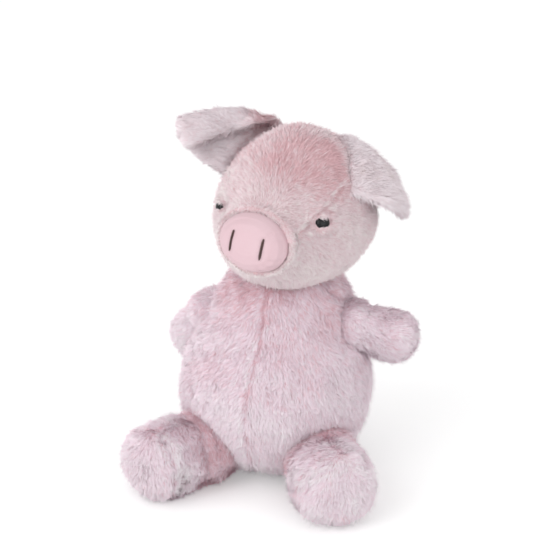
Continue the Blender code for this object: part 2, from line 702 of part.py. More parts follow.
def leaf(grid, normals, way):
    """One cloth leaf of an ear: flat to its twin, rounded away at the sewn edge.

    Both leaves split their facets along the same diagonals, so that they never cross in a fold.
    """
    mesh = bmesh.new()
    rows, columns = len(grid), len(grid[0])
    sheets = []
    for outer in (False, True):
        sheet = []
        for row in range(rows):
            steps = [(b - a).length for a, b in zip(grid[row], grid[row][1:])]
            line = []
            for column in range(columns):
                side_way = min(sum(steps[:column]), sum(steps[column:]))
                end_way = min(row, rows - 1 - row) / (rows - 1) * EAR_LENGTH
                near = min(side_way, end_way, EAR_ROUNDING) / EAR_ROUNDING
                full = max(sqrt(1 - (1 - near) ** 2), EAR_EDGE_SHARE)
                depth = SEAM_GAP / 2 + (EAR_THICKNESS / 2 - SEAM_GAP / 2) * full if outer else SEAM_GAP / 2
                point = grid[row][column] + normals[row][column] * depth * way
                line.append(mesh.verts.new(point))
            sheet.append(line)
        sheets.append(sheet)
    for sheet in sheets:
        for low, high in zip(sheet, sheet[1:]):
            for column in range(columns - 1):
                mesh.faces.new([low[column], low[column + 1], high[column + 1]])
                mesh.faces.new([low[column], high[column + 1], high[column]])
    border = [(0, column) for column in range(columns)]
    border += [(row, columns - 1) for row in range(1, rows)]
    border += [(rows - 1, column) for column in range(columns - 2, -1, -1)]
    border += [(row, 0) for row in range(rows - 2, 0, -1)]
    for place, after in zip(border, border[1:] + border[:1]):
        inner, outer = sheets
        mesh.faces.new([inner[place[0]][place[1]], inner[after[0]][after[1]],
                        outer[after[0]][after[1]], outer[place[0]][place[1]]])
    return mesh


def build_ears(neck, neck_frame, seat, head_tree):
    centre = seat.to_translation()
    for side, sign in SIDES:
        across_head = seat @ Matrix.Diagonal((sign, 1.0, 1.0, 1.0)) @ seat.inverted()
        ear = Ear(side, centre, head_tree)
        grid = ear.grid()
        normals = grid_normals(grid)
        hinge = across_head @ ear.hinge
        axis = across_head.to_3x3() @ ear.across
        mark = pivot("ear_joint_" + side, neck_frame @ hinge, neck_frame.to_3x3() @ aim(axis), neck)
        local = at(hinge, aim(axis)).inverted()
        for name, way in (("front", 1), ("back", -1)):
            cloth = leaf(grid, normals, way)
            cloth.transform(local @ across_head)
            piece("ear_" + side + "_" + name, cloth, PLUSH_PALE, mark)


def body_at(height):
    """The body's ring at one height, read between its stations."""
    stations = body_stations()
    for low, high in zip(stations, stations[1:]):
        if low.s <= height <= high.s:
            blend = (height - low.s) / (high.s - low.s)
            shift = (low.shift[0] + (high.shift[0] - low.shift[0]) * blend,
                     low.shift[1] + (high.shift[1] - low.shift[1]) * blend)
            wide = low.a + (high.a - low.a) * blend
            return Station(height, wide, low.b + (high.b - low.b) * blend, shift)
    raise ValueError("no ring of the body at this height")


def side_slope(ring):
    """How steeply the body's side falls from one ring to its widest, measured from level."""
    widest = max(body_stations(), key=lambda station: station.a)
    return atan2(ring.s - widest.s, widest.a - ring.a)


def limb_ball(radius):
    return ball_stations(radius, LIMB_OPENING, LIMB_BALL_END, LIMB_BALL_RINGS)


def limb_filling(name, mark, place, stations, radius, reach):
    """The filling of a limb, which shows at the open root and meets the body's filling there."""
    depth = COVER_WALL + LIMB_FILL_GAP
    core = inset(stations, depth)
    plug = inset(stations, COVER_WALL)[0].a - FILL_GAP
    throat = core[0].moved(core[0].s, plug, plug)
    first = pi * (1 - LAST_RING_SHARE)
    root = ball_stations(radius, first, asin(plug / radius), LIMB_PLUG_RINGS)
    mesh = solid(root + [throat] + core[1:], LIMB_SEGMENTS, place, -radius, reach - depth, depth)
    return piece(name, mesh, FILLING_WHITE, mark)


def seat_limb(side, kind, frame, radius, body_cover, body_stuffing):
    """The round seat that a limb's ball turns in."""
    hollow = ball_mesh(radius + SEAM_GAP, LIMB_SEGMENTS)
    hollow.transform(frame)
    seat = guide(kind + "_seat_" + side, hollow)
    cut(body_cover, seat)
    cut(body_stuffing, seat)


def build_arms(belly, body_cover, body_stuffing):
    for side, sign in SIDES:
        ring = body_at(ARM_HEIGHT[side])
        aside = ring.a - ARM_BALL * ARM_SINK_SHARE[side]
        shoulder = Vector((ring.shift[0] + sign * aside, ring.shift[1] - ARM_FORWARD, ARM_HEIGHT[side]))
        droop = ARM_DROOP_LEFT if side == "left" else side_slope(ring) - ARM_OFF_BELLY
        back = ARM_BACK[side]
        along = Vector((sign * cos(droop) * cos(back), cos(droop) * sin(back), -sin(droop)))
        frame = at(shoulder, aim(along))
        mark = pivot("shoulder_joint_" + side, shoulder, aim(along))
        place = Pressed(frame, belly, ARM_BALL)
        stations = limb_ball(ARM_BALL)
        for length, radius in ARM_SHARES:
            stations.append(Station(ARM_REACH * length, ARM_BALL * radius, ARM_BALL * radius))
        sleeve = cover(stations, COVER_WALL, LIMB_SEGMENTS, place, end_s=ARM_REACH)
        piece("arm_cover_" + side, sleeve, PLUSH_PINK, mark)
        limb_filling("arm_stuffing_" + side, mark, place, stations, ARM_BALL, ARM_REACH)
        seat_limb(side, "arm", frame, ARM_BALL, body_cover, body_stuffing)


def foot_station(s, radius):
    """A ring that is round at the hip and flatter towards the sole."""
    flatter = 1 - (1 - FOOT_HEIGHT_SHARE) * ease(s / (LEG_REACH * SOLE_SEAM_SHARE))
    return Station(s, radius, radius * flatter)


def build_legs(belly, body_cover, body_stuffing):
    height = FOOT_RADIUS * FOOT_HEIGHT_SHARE - REST_CUT
    for side, sign in SIDES:
        ring = body_at(height)
        splay = HIP_SPLAY[side]
        outward = Vector((sign * sin(splay), -cos(splay), 0.0))
        skin_radius = 1 / sqrt((sin(splay) / ring.a) ** 2 + (cos(splay) / ring.b) ** 2)
        hip = outward * (skin_radius + LEG_OUT) + Vector((0.0, 0.0, height))
        along = Vector((sign * sin(LEG_SPLAY[side]), -cos(LEG_SPLAY[side]), 0.0))
        frame = at(hip, aim(along))
        mark = pivot("hip_joint_" + side, hip, aim(along))
        place = Pressed(frame, belly, LEG_BALL)
        stations = limb_ball(LEG_BALL)
        for length, radius in LEG_SHARES:
            stations.append(foot_station(LEG_REACH * length, FOOT_RADIUS * radius))
        seam_s = LEG_REACH * SOLE_SEAM_SHARE
        seam_radius = FOOT_RADIUS - SOLE_SEAM_DIP
        stocking = stations + [foot_station(seam_s - SEAM_GAP, seam_radius)]
        sole = [foot_station(seam_s, seam_radius)]
        for length, radius in SOLE_SHARES:
            sole.append(foot_station(LEG_REACH * length, FOOT_RADIUS * radius))
        shell = cover(stocking, COVER_WALL, LIMB_SEGMENTS, place)
        piece("leg_cover_" + side, shell, PLUSH_PINK, mark)
        cap = cover(sole, COVER_WALL, LIMB_SEGMENTS, place, end_s=LEG_REACH)
        piece("sole_panel_" + side, cap, PLUSH_PINK, mark)
        limb_filling("leg_stuffing_" + side, mark, place, stations + sole, LEG_BALL, LEG_REACH)
        seat_limb(side, "leg", frame, LEG_BALL, body_cover, body_stuffing)


def sweep(points, radii, segments):
    """A closed round tube of changing radius through a line of points."""
    mesh = bmesh.new()
    side_way = Vector((1.0, 0.0, 0.0))
    rings = []
    for index, (point, radius) in enumerate(zip(points, radii)):
        ahead = points[min(index + 1, len(points) - 1)] - points[max(index - 1, 0)]
        ahead.normalize()
        side_way = (side_way - ahead * side_way.dot(ahead)).normalized()
        up_way = ahead.cross(side_way)
        ring = []
        for step in range(segments):
            angle = 2 * pi * step / segments
            ring.append(mesh.verts.new(point + (side_way * cos(angle) + up_way * sin(angle)) * radius))
        rings.append(ring)
    for low, high in zip(rings, rings[1:]):
        bridge(mesh, low, high)
    close_end(mesh, rings[0], points[0])
    close_end(mesh, rings[-1], points[-1])
    return mesh


def build_tail(body_cover):
    ring = body_at(TAIL_HEIGHT)
    root = Vector((ring.shift[0], ring.shift[1] + ring.b + TAIL_OUT, TAIL_HEIGHT))
    points, radii = [], []
    for step in range(TAIL_CAP_RINGS):
        angle = (pi / 2) * (step + 1 / 2) / TAIL_CAP_RINGS
        points.append(Vector((0.0, -TAIL_RADIUS * cos(angle), 0.0)))
        radii.append(TAIL_RADIUS * sin(angle))
    for step in range(TAIL_STEPS + 1):
        share = step / TAIL_STEPS
        angle = 2 * pi * TAIL_CURL_TURNS * share
        wide = TAIL_CURL_RADIUS * ease(share * TAIL_CURL_TURNS * 2)
        out = TAIL_ROOT_LENGTH * ease(share * TAIL_CURL_TURNS * 2)
        out += TAIL_CURL_PITCH * TAIL_CURL_TURNS * share
        points.append(Vector((wide * sin(angle), out, wide * (1 - cos(angle)) / 2)))
        taper = TAIL_RADIUS + (TAIL_TIP_RADIUS - TAIL_RADIUS) * share
        closed = ease((share - TAIL_END_SHARE) / (1 - TAIL_END_SHARE))
        radii.append(taper * sqrt(max(1 - closed, TAIL_POINT_SHARE)))
    mark = pivot("tail_joint", root, Matrix.Identity(3))
    piece("tail", sweep(points, radii, TAIL_SEGMENTS), PLUSH_PINK, mark)
    dent = ball_mesh(TAIL_RADIUS + SEAM_GAP, EYE_SEGMENTS)
    dent.transform(Matrix.Translation(root))
    cut(body_cover, guide("tail_seat", dent))


def body_form():
    return solid(body_stations(), BODY_SEGMENTS, upright, 0.0, NECK_PIVOT.z + NECK_DOME_RADIUS)


def head_form():
    rings = head_stations() + pad_stations()
    return solid(rings, HEAD_SEGMENTS, facing, -SKULL_BACK, MUZZLE_LENGTH + PAD_BULGE)


def main():
    clear_scene()
    body_cover, body_stuffing = build_body()
    build_pellet_bag(body_stuffing)
    neck_turn = Matrix.Rotation(HEAD_TURN, 3, "Z")
    neck_frame = at(NECK_PIVOT, neck_turn)
    neck = pivot("neck_joint", NECK_PIVOT, neck_turn)
    seat = Matrix.Translation(neck_frame.inverted() @ HEAD_CENTRE)
    head_cover, head_stuffing = build_head(neck, seat)
    whole_head = head_form()
    whole_head.transform(seat)
    head_tree = skin_tree(whole_head)
    build_eyes(neck, seat, head_tree, head_cover, head_stuffing)
    build_nostrils(neck, seat, head_tree)
    build_ears(neck, neck_frame, seat, head_tree)
    belly = skin_tree(body_form())
    build_arms(belly, body_cover, body_stuffing)
    build_legs(belly, body_cover, body_stuffing)
    build_tail(body_cover)


main()
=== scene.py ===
"""A seated plush pig: its pile, velour, thread and glossy eyes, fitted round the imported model.

The file is laid out as an add-on with settings, one operator for each group of pieces and a panel.
Lengths are in metres in the model's frame: +Z up, the pig faces -Y and its own left side is +X.
"""
import json
from math import cos, pi, radians, sin, sqrt

import bmesh
import bpy
import numpy as np
from bpy.props import FloatProperty, FloatVectorProperty, PointerProperty
from mathutils import Matrix, Vector
from mathutils.bvhtree import BVHTree


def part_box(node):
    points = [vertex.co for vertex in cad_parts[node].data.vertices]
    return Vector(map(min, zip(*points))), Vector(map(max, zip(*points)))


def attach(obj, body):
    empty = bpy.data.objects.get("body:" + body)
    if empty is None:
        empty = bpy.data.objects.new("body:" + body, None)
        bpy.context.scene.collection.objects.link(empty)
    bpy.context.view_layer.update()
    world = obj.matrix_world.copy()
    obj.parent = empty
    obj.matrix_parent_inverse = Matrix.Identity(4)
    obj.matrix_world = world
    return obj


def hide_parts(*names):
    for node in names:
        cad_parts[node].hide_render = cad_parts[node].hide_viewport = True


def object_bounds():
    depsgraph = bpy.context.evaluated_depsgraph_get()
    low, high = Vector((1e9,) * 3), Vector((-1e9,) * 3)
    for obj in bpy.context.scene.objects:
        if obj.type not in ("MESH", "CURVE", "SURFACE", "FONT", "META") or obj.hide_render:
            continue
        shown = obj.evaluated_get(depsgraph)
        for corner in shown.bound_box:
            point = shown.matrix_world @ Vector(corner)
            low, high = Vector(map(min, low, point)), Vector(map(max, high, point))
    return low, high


bl_info = {
    "name": "Plush pig",
    "version": (1, 0, 0),
    "blender": (4, 5, 0),
    "location": "3D View > Sidebar > Plush pig",
    "description": "Dresses a jointed plush pig in its pile and sets it on a plain floor",
    "category": "Add Mesh",
}

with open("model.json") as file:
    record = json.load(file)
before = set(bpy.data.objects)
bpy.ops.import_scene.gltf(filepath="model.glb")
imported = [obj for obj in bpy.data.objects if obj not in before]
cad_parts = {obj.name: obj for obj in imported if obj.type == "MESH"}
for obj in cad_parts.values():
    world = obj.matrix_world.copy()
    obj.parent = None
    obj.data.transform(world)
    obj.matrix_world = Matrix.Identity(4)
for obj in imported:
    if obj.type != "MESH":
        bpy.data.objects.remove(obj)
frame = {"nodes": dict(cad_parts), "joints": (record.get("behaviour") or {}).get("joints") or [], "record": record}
cad_low, cad_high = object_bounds()

SIDES = ("left", "right")
UP = np.array([0.0, 0.0, 1.0])
SQUARE_CENTIMETRE = 0.0001
MOST_STRANDS = 64000            # in one piece of pile, to keep each mesh light
PICTURE = 540                   # pixels across and down
SENSOR = 36.0                   # width of the camera's sensor in millimetres

# Seeds of the random draws
SEED = 7
SEEDS = {"body_plush": 110, "head_plush": 210, "arm_plush_left": 310, "arm_plush_right": 330,
         "leg_plush_left": 410, "leg_plush_right": 430, "ear_plush_left": 510,
         "ear_plush_right": 530, "tail_plush": 610}

# Grid sizes of the skins
VOXELS = {"body": 0.0020, "head": 0.0017, "arm": 0.0013, "leg": 0.0015, "ear": 0.0009,
          "tail": 0.0005, "snout": 0.0007, "bag": 0.0022}

# How deep each seam draws its skin in, and how wide
SEAMS = {"belly": (0.0018, 0.0017), "armhole": (0.0010, 0.0022), "face": (0.0011, 0.0019),
         "sole": (0.0012, 0.0022), "toe": (0.0030, 0.0028)}

# Half width and half height of the opening over each eye, and how high its lids stand
EYE_OPENING = {"left": (0.0066, 0.0045), "right": (0.0056, 0.0037)}
LID_HEIGHT = {"left": 0.0046, "right": 0.0048}
EYE_REACH = 0.012               # how far along the stem the lids count
UPPER_LID = 0.70                # height of the opening's upper half beside its lower half

# Places in pixels of the picture, carried to the surface along the line of sight
FACE_SEAM = ((288, 243), (302, 231), (314, 219), (334, 196), (343, 186))
ARM_SEAM = ((330, 290), (339, 297), (349, 319), (360, 342))
# Where painted shade darkens the chest below the chin
CHEST_SHADE = ((242, 300),)
TOE_FOLD = ((311, 472), (307, 488))
ARM_FULLEST = {"left": ((376, 311),), "right": ((184, 318),)}
FOOT_TUFTS = {"left": ((300, 487), (312, 478), (327, 470), (345, 464), (360, 470)),
              "right": ((164, 437), (172, 447), (181, 462), (184, 480), (176, 492))}
# Along the left ear's hollow, which is pressed in and darkened with painted shade
EAR_HOLLOW = ((371, 157), (380, 168), (388, 180))
# Where painted shade darkens the brow's shaded side and the root of the left ear
BROW_SHADE = ((322, 160), (332, 178), (300, 148), (285, 172))
EAR_ROOT_SHADE = ((326, 146), (334, 160), (338, 174))

SNOUT_CREASES = [radians(turn) for turn in (20, 38, 58, 128, 150, -35)]

# The satin stitch of the nostrils
THREADS = 26
THREAD_RADIUS = 0.00034
THREAD_SIDES = 6
BAR_HALF_WIDTH = 0.0010

# The eye buttons
EYE_SIDES = 40
DOME_STEPS = 12
EYE_EDGE = 0.0005               # from a button's flat back to its widest place
STEM_LENGTH = 0.003


class PileSettings(bpy.types.PropertyGroup):
    """The pile: the long soft fibres that stand out of the plush backing."""

    length: FloatProperty(
        name="Length", description="Length of a tuft of fibres", default=0.0057, unit="LENGTH",
        min=0.001)
    width: FloatProperty(
        name="Width", description="Width of a tuft at its root", default=0.00034, unit="LENGTH",
        min=0.0001)
    density: FloatProperty(
        name="Density", description="Tufts on a square centimetre", default=430.0, min=1.0)
    root_lean: FloatProperty(
        name="Lean at the root", description="From upright", default=radians(40), subtype="ANGLE")
    tip_lean: FloatProperty(
        name="Lean at the tip", description="From upright", default=radians(72), subtype="ANGLE")
    lock: FloatProperty(
        name="Lock", description="Size of the locks that tufts gather in", default=0.0018,
        unit="LENGTH", min=0.0005)
    sink: FloatProperty(
        name="Sink", description="How deep the backing lies under the model's surface",
        default=0.0003, unit="LENGTH")


class ColourSettings(bpy.types.PropertyGroup):
    """The colours of the cloths, the thread and the eyes."""

    # Deep: the foot of the pile is darker, as painted shade among the fibres.
    deep: FloatVectorProperty(
        name="Deep", description="Foot of the pile", subtype="COLOR", default=(0.84, 0.55, 0.61))
    # Rose: the darker end of the pile's tone. Where it gathers in hollows, creases and at the limbs' roots, it is
    # painted shade.
    rose: FloatVectorProperty(
        name="Rose", description="Pile in hollows and at the roots of the limbs",
        subtype="COLOR", default=(0.86, 0.56, 0.61))
    pink: FloatVectorProperty(
        name="Pink", description="Most of the pile", subtype="COLOR", default=(0.98, 0.85, 0.92))
    pale: FloatVectorProperty(
        name="Pale", description="Palest tufts", subtype="COLOR", default=(0.98, 0.92, 0.95))
    # The head's four colours are the body's pile colours greyed and darkened: painted shade over the whole head.
    head_deep: FloatVectorProperty(
        name="Head deep", description="Foot of the head's pile", subtype="COLOR",
        default=(0.74, 0.47, 0.50))
    brow: FloatVectorProperty(
        name="Brow", description="Rosy pile on top of the head", subtype="COLOR",
        default=(0.79, 0.52, 0.55))
    face: FloatVectorProperty(
        name="Face", description="Most of the head's pile", subtype="COLOR",
        default=(0.88, 0.74, 0.77))
    cheek: FloatVectorProperty(
        name="Cheek", description="Pile on the cheeks and the chin", subtype="COLOR",
        default=(0.91, 0.83, 0.83))
    shade: FloatVectorProperty(
        name="Ear shade", description="Foot of the ears' pile", subtype="COLOR",
        default=(0.92, 0.77, 0.80))
    # Ear hollow: painted shade in the left ear's hollow, over a real dent.
    hollow: FloatVectorProperty(
        name="Ear hollow", description="Pile in the left ear's hollow", subtype="COLOR",
        default=(0.70, 0.62, 0.59))
    cream: FloatVectorProperty(
        name="Ear cream", description="Tips of the ears' pile", subtype="COLOR",
        default=(0.97, 0.90, 0.93))
    velour: FloatVectorProperty(
        name="Velour", description="Snout pad", subtype="COLOR", default=(0.705, 0.517, 0.556))
    thread: FloatVectorProperty(
        name="Thread", description="Nostril stitches", subtype="COLOR",
        default=(0.060, 0.028, 0.024))
    eye: FloatVectorProperty(
        name="Eye", description="Eye buttons", subtype="COLOR", default=(0.004, 0.004, 0.005))


class StageSettings(bpy.types.PropertyGroup):
    """The floor, the light and the camera."""

    floor: FloatProperty(
        name="Floor", description="Width of the floor", default=12.0, unit="LENGTH")
    azimuth: FloatProperty(
        name="Azimuth", description="Camera, round from the front", default=radians(19),
        subtype="ANGLE")
    elevation: FloatProperty(
        name="Elevation", description="Camera above the horizon", default=radians(22),
        subtype="ANGLE")
    distance: FloatProperty(
        name="Distance", description="Camera to its target", default=1.2, unit="LENGTH")
    target: FloatVectorProperty(
        name="Target", description="What the camera looks at", unit="LENGTH",
        default=(-0.0047, 0.0, 0.1664))
    lens: FloatProperty(name="Lens", description="Focal length in millimetres", default=100.0)
    key_power: FloatProperty(
        name="Key power", description="Large soft lamp at the front, in watts", default=10.0)
    sky: FloatProperty(
        name="Sky", description="Strength of the even light all round", default=0.76)


def settings(name):
    return getattr(bpy.context.scene, "plush_" + name)


# Small tools for arrays of points

def unit(vectors):
    return vectors / np.maximum(np.linalg.norm(vectors, axis=-1, keepdims=True), 1e-12)


def dot(a, b):
    return (a * b).sum(axis=-1, keepdims=True)


def smooth_step(low, high, values):
    share = np.clip((values - low) / (high - low), 0.0, 1.0)
    return share * share * (3 - 2 * share)


def bell(distance, width):
    """1 at no distance, falling off smoothly by about the width."""
    return np.exp(-(distance / width) ** 2)


def near(points, place, reach):
    """1 at the given place, falling to 0 at the reach."""
    return 1 - smooth_step(0.0, reach, np.linalg.norm(points - place, axis=1))


class Waves:
    """A smooth random field: a sum of plane waves of about one wavelength."""

    def __init__(self, seed, wavelength, outputs=1, count=18):
        draw = np.random.default_rng(SEED * 1000 + seed)
        ways = unit(draw.normal(size=(count, 3)))
        self.turns = ways * (2 * pi / wavelength) * draw.uniform(0.7, 1.4, size=(count, 1))
        self.starts = draw.uniform(0, 2 * pi, size=(count, outputs))
        self.gain = sqrt(2 / count)

    def __call__(self, points):
        angles = points @ self.turns.T
        return np.cos(angles[:, :, None] + self.starts[None]).sum(axis=1) * self.gain


def mottle(points, seed, size, strength):
    """Soft patches of about the given size."""
    return strength * Waves(seed, size)(points)[:, 0]


# Meshes and objects

def array_of(items, attribute, width, kind=np.float32):
    """One attribute of a mesh's items, with a row for each item."""
    values = np.empty(len(items) * width, kind)
    items.foreach_get(attribute, values)
    return values.reshape(-1, width)


def mesh_from(build, name):
    """Turns a built mesh into mesh data with smooth shading."""
    made = bpy.data.meshes.new(name)
    bmesh.ops.recalc_face_normals(build, faces=build.faces)
    build.to_mesh(made)
    build.free()
    made.shade_smooth()
    return made


def put(name, mesh, body, material):
    """An object that rides on one body of the model."""
    thing = bpy.data.objects.new(name, mesh)
    bpy.context.scene.collection.objects.link(thing)
    mesh.materials.clear()
    mesh.materials.append(material)
    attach(thing, body)
    return thing


def node_points(node):
    return array_of(frame["nodes"][node].data.vertices, "co", 3).astype(float)


def node_box(*nodes):
    corners = np.array([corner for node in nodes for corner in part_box(node)])
    return corners.min(axis=0), corners.max(axis=0)


def node_middle(*nodes):
    low, high = node_box(*nodes)
    return (low + high) / 2


def joined(nodes):
    mesh = bmesh.new()
    for node in nodes:
        mesh.from_mesh(frame["nodes"][node].data)
    return mesh


def node_tree(*nodes):
    mesh = joined(nodes)
    tree = BVHTree.FromBMesh(mesh)
    mesh.free()
    return tree


def joint_of(child):
    return next(joint for joint in frame["joints"] if joint["child"] == child)


def joint_place(child):
    return np.array(joint_of(child)["pos_m"])


class Skin:
    """One closed skin round some solids of the model, as arrays of points and triangles."""

    def __init__(self, nodes, voxel, relaxed):
        source = joined(nodes)
        mesh = bpy.data.meshes.new("wrap")
        source.to_mesh(mesh)
        source.free()
        thing = bpy.data.objects.new("wrap", mesh)
        bpy.context.scene.collection.objects.link(thing)
        wrap = thing.modifiers.new("wrap", "REMESH")
        wrap.mode = "VOXEL"
        wrap.voxel_size = voxel
        depsgraph = bpy.context.evaluated_depsgraph_get()
        self.mesh = bpy.data.meshes.new_from_object(thing.evaluated_get(depsgraph))
        bpy.data.objects.remove(thing)
        bpy.data.meshes.remove(mesh)
        self.points = array_of(self.mesh.vertices, "co", 3).astype(float)
        self.edges = array_of(self.mesh.edges, "vertices", 2, np.int32)
        self.mesh.calc_loop_triangles()
        self.triangles = array_of(self.mesh.loop_triangles, "vertices", 3, np.int32)
        self.relax(relaxed)

    def relax(self, times):
        """Evens the facets out, each second step pushing back so that the form doesn't shrink."""
        a, b = self.edges.T
        count = len(self.points)
        ways = np.bincount(self.edges.ravel(), minlength=count)[:, None]
        for step in range(2 * times):
            total = np.empty_like(self.points)
            for axis in range(3):
                values = self.points[:, axis]
                total[:, axis] = np.bincount(a, values[b], count) + np.bincount(b, values[a], count)
            share = 0.5 if step % 2 == 0 else -0.51
            self.points += (total / ways - self.points) * share
        self.find_normals()

    def corners(self):
        return (self.points[self.triangles[:, corner]] for corner in range(3))

    def find_normals(self):
        a, b, c = self.corners()
        faces = np.cross(b - a, c - a)
        normals = np.zeros_like(self.points)
        for corner in range(3):
            for axis in range(3):
                normals[:, axis] += np.bincount(
                    self.triangles[:, corner], faces[:, axis], len(self.points))
        self.normals = unit(normals)

    def move(self, distances):
        """Moves each point along its normal, and never under the floor."""
        self.points += self.normals * np.asarray(distances).reshape(-1, 1)
        self.points[:, 2] = np.maximum(self.points[:, 2], cad_low.z)
        self.find_normals()

    def clearance(self, tree, reach):
        """How far each point can see along its normal before another piece, up to the reach."""
        found = np.full(len(self.points), reach)
        for index, (point, normal) in enumerate(zip(self.points, self.normals)):
            hit = tree.ray_cast(Vector(point), Vector(normal), reach)
            if hit[0] is not None:
                found[index] = hit[3]
        return found

    def distance_to(self, tree, reach):
        """How far each point is from another piece, up to the reach."""
        found = np.full(len(self.points), reach)
        for index, point in enumerate(self.points):
            hit = tree.find_nearest(Vector(point), reach)
            if hit[0] is not None:
                found[index] = hit[3]
        return found

    def tree(self):
        return BVHTree.FromPolygons(self.points.tolist(), self.triangles.tolist())

    def finished(self, name):
        self.points[:, 2] = np.maximum(self.points[:, 2], cad_low.z)
        mesh = self.mesh
        mesh.name = name
        mesh.vertices.foreach_set("co", self.points.astype(np.float32).ravel())
        mesh.update()
        mesh.shade_smooth()
        return mesh


# Places taken from the picture

def camera_axes():
    """The camera's place and its right, up and back ways."""
    stage = settings("stage")
    flat = cos(stage.elevation)
    back = Vector((sin(stage.azimuth) * flat, -cos(stage.azimuth) * flat, sin(stage.elevation)))
    right = Vector(UP).cross(back).normalized()
    return Vector(stage.target) + back * stage.distance, right, back.cross(right), back


def on_node(route, *nodes):
    """Pixels of the picture, carried along the line of sight to solids of the model."""
    place, right, up, back = camera_axes()
    tree = node_tree(*nodes)
    pixel = SENSOR / PICTURE / settings("stage").lens
    found = []
    for x, y in route:
        way = right * ((x - PICTURE / 2) * pixel) - up * ((y - PICTURE / 2) * pixel) - back
        hit = tree.ray_cast(place, way.normalized())
        if hit[0] is None:
            raise ValueError("no surface of %s behind pixel %s" % (nodes, (x, y)))
        found.append(np.array(hit[0]))
    return np.array(found)


def mirrored(route, middle, across):
    return route - 2 * dot(route - middle, across) * across


def off_routes(points, routes):
    """The way from the nearest place on any of the routes to each point."""
    best = np.full((len(points), 3), 1.0)
    for route in routes:
        for start, end in zip(route, route[1:]):
            run = end - start
            share = np.clip((points - start) @ run / (run @ run), 0.0, 1.0)
            way = points - start - share[:, None] * run
            closer = (way * way).sum(axis=1) < (best * best).sum(axis=1)
            best[closer] = way[closer]
    return best


def distance_off(points, *routes):
    return np.linalg.norm(off_routes(points, routes), axis=1)


# Pile

class Coat:
    """What the pile does at each point of a skin: where it lies to, how long it is, its tone."""

    def __init__(self, nap, length, tone):
        self.nap, self.length, self.tone = nap, length, tone


def scatter(draw, skin, keep, density):
    """Random places on the skin, the same number for each area, as triangles and weights."""
    a, b, c = skin.corners()
    areas = np.linalg.norm(np.cross(b - a, c - a), axis=1) / 2
    share = keep[skin.triangles].mean(axis=1)
    wanted = areas * share * density / SQUARE_CENTIMETRE
    counts = np.floor(wanted + draw.random(len(wanted))).astype(int)
    chosen = np.repeat(np.arange(len(wanted)), counts)
    u, v = draw.random((2, len(chosen)))
    over = u + v > 1
    u[over], v[over] = 1 - u[over], 1 - v[over]
    return skin.triangles[chosen], np.stack((1 - u - v, u, v), axis=1)


def spread(values, corners, weights):
    """Values of the skin's points, at places given by triangles and weights."""
    if values.ndim == 1:
        return (values[corners] * weights).sum(axis=1)
    return (values[corners] * weights[:, :, None]).sum(axis=1)


def find_locks(roots, normals, seed):
    """The lock that each tuft gathers in, and the way to the middle of it."""
    pile = settings("pile")
    bent = roots + Waves(seed + 3, 0.006, outputs=3)(roots) * pile.lock * 0.5
    cells = np.floor(bent / pile.lock).astype(np.int64)
    cells -= cells.min(axis=0)
    keys = (cells[:, 0] * 4096 + cells[:, 1]) * 4096 + cells[:, 2]
    _, lock = np.unique(keys, return_inverse=True)
    members = np.bincount(lock)
    middles = np.stack([np.bincount(lock, roots[:, axis]) / members for axis in range(3)], axis=1)
    inward = middles[lock] - roots
    return lock, len(members), inward - normals * dot(inward, normals)


def strands(seed, skin, coat):
    """The pile of one skin: roots, middles, tips, sideways steps, tones and skin normals."""
    pile = settings("pile")
    draw = np.random.default_rng(SEED * 100 + seed)
    corners, weights = scatter(draw, skin, (coat.length > 0.02).astype(float), pile.density)
    roots = spread(skin.points, corners, weights)
    normals = unit(spread(skin.normals, corners, weights))
    nap = spread(coat.nap, corners, weights)
    length = spread(coat.length, corners, weights) * pile.length
    tone = spread(coat.tone, corners, weights)
    count = len(length)

    broad_sway = Waves(seed + 1, 0.016, outputs=3)(roots) * 0.20
    fine_sway = Waves(seed + 2, 0.0055, outputs=3)(roots) * 0.11
    nap = unit(nap) + (broad_sway + fine_sway) + draw.normal(scale=0.12, size=nap.shape)
    nap = unit(nap - normals * dot(nap, normals))
    lock, lock_count, inward = find_locks(roots, normals, seed)
    lock_draw = draw.normal(size=(lock_count, 3))

    length *= np.clip(1 + 0.13 * draw.normal(size=count) + 0.08 * lock_draw[lock, 0], 0.5, 1.35)
    loose = draw.random(count) < 0.07
    length *= np.where(loose, 1.4, 1.0)
    turn = radians(7) * lock_draw[lock, 1][:, None] + radians(6) * draw.normal(size=(count, 1))
    turn -= np.where(loose, radians(22), 0.0)[:, None]
    lying = smooth_step(0.15, 0.75, normals[:, 2:])       # pile on an upper side lies flatter
    root_lean = np.maximum(pile.root_lean + turn + radians(20) * lying, 0.0)
    tip_lean = np.clip(pile.tip_lean + turn + radians(8) * lying, 0.1, radians(84))
    half = length[:, None] / 2
    middles = roots + (normals * np.cos(root_lean) + nap * np.sin(root_lean)) * half + inward * 0.15
    tips = middles + (normals * np.cos(tip_lean) + nap * np.sin(tip_lean)) * half + inward * 0.30
    for points in (roots, middles, tips):
        points[:, 2] = np.maximum(points[:, 2], cad_low.z + 0.0002)

    way = unit(tips - roots)
    sideways = unit(np.cross(way, normals))
    roll = radians(24) * draw.normal(size=(count, 1))
    facing = unit(np.cross(sideways, way))
    sideways = sideways * np.cos(roll) + facing * np.sin(roll)
    width = pile.width * np.clip(1 + 0.2 * draw.normal(size=count), 0.5, 1.6)
    tone = tone + 0.13 * draw.normal(size=count) + 0.12 * lock_draw[lock, 2]
    return roots, middles, tips, sideways * width[:, None] / 2, np.clip(tone, 0.0, 1.0), normals


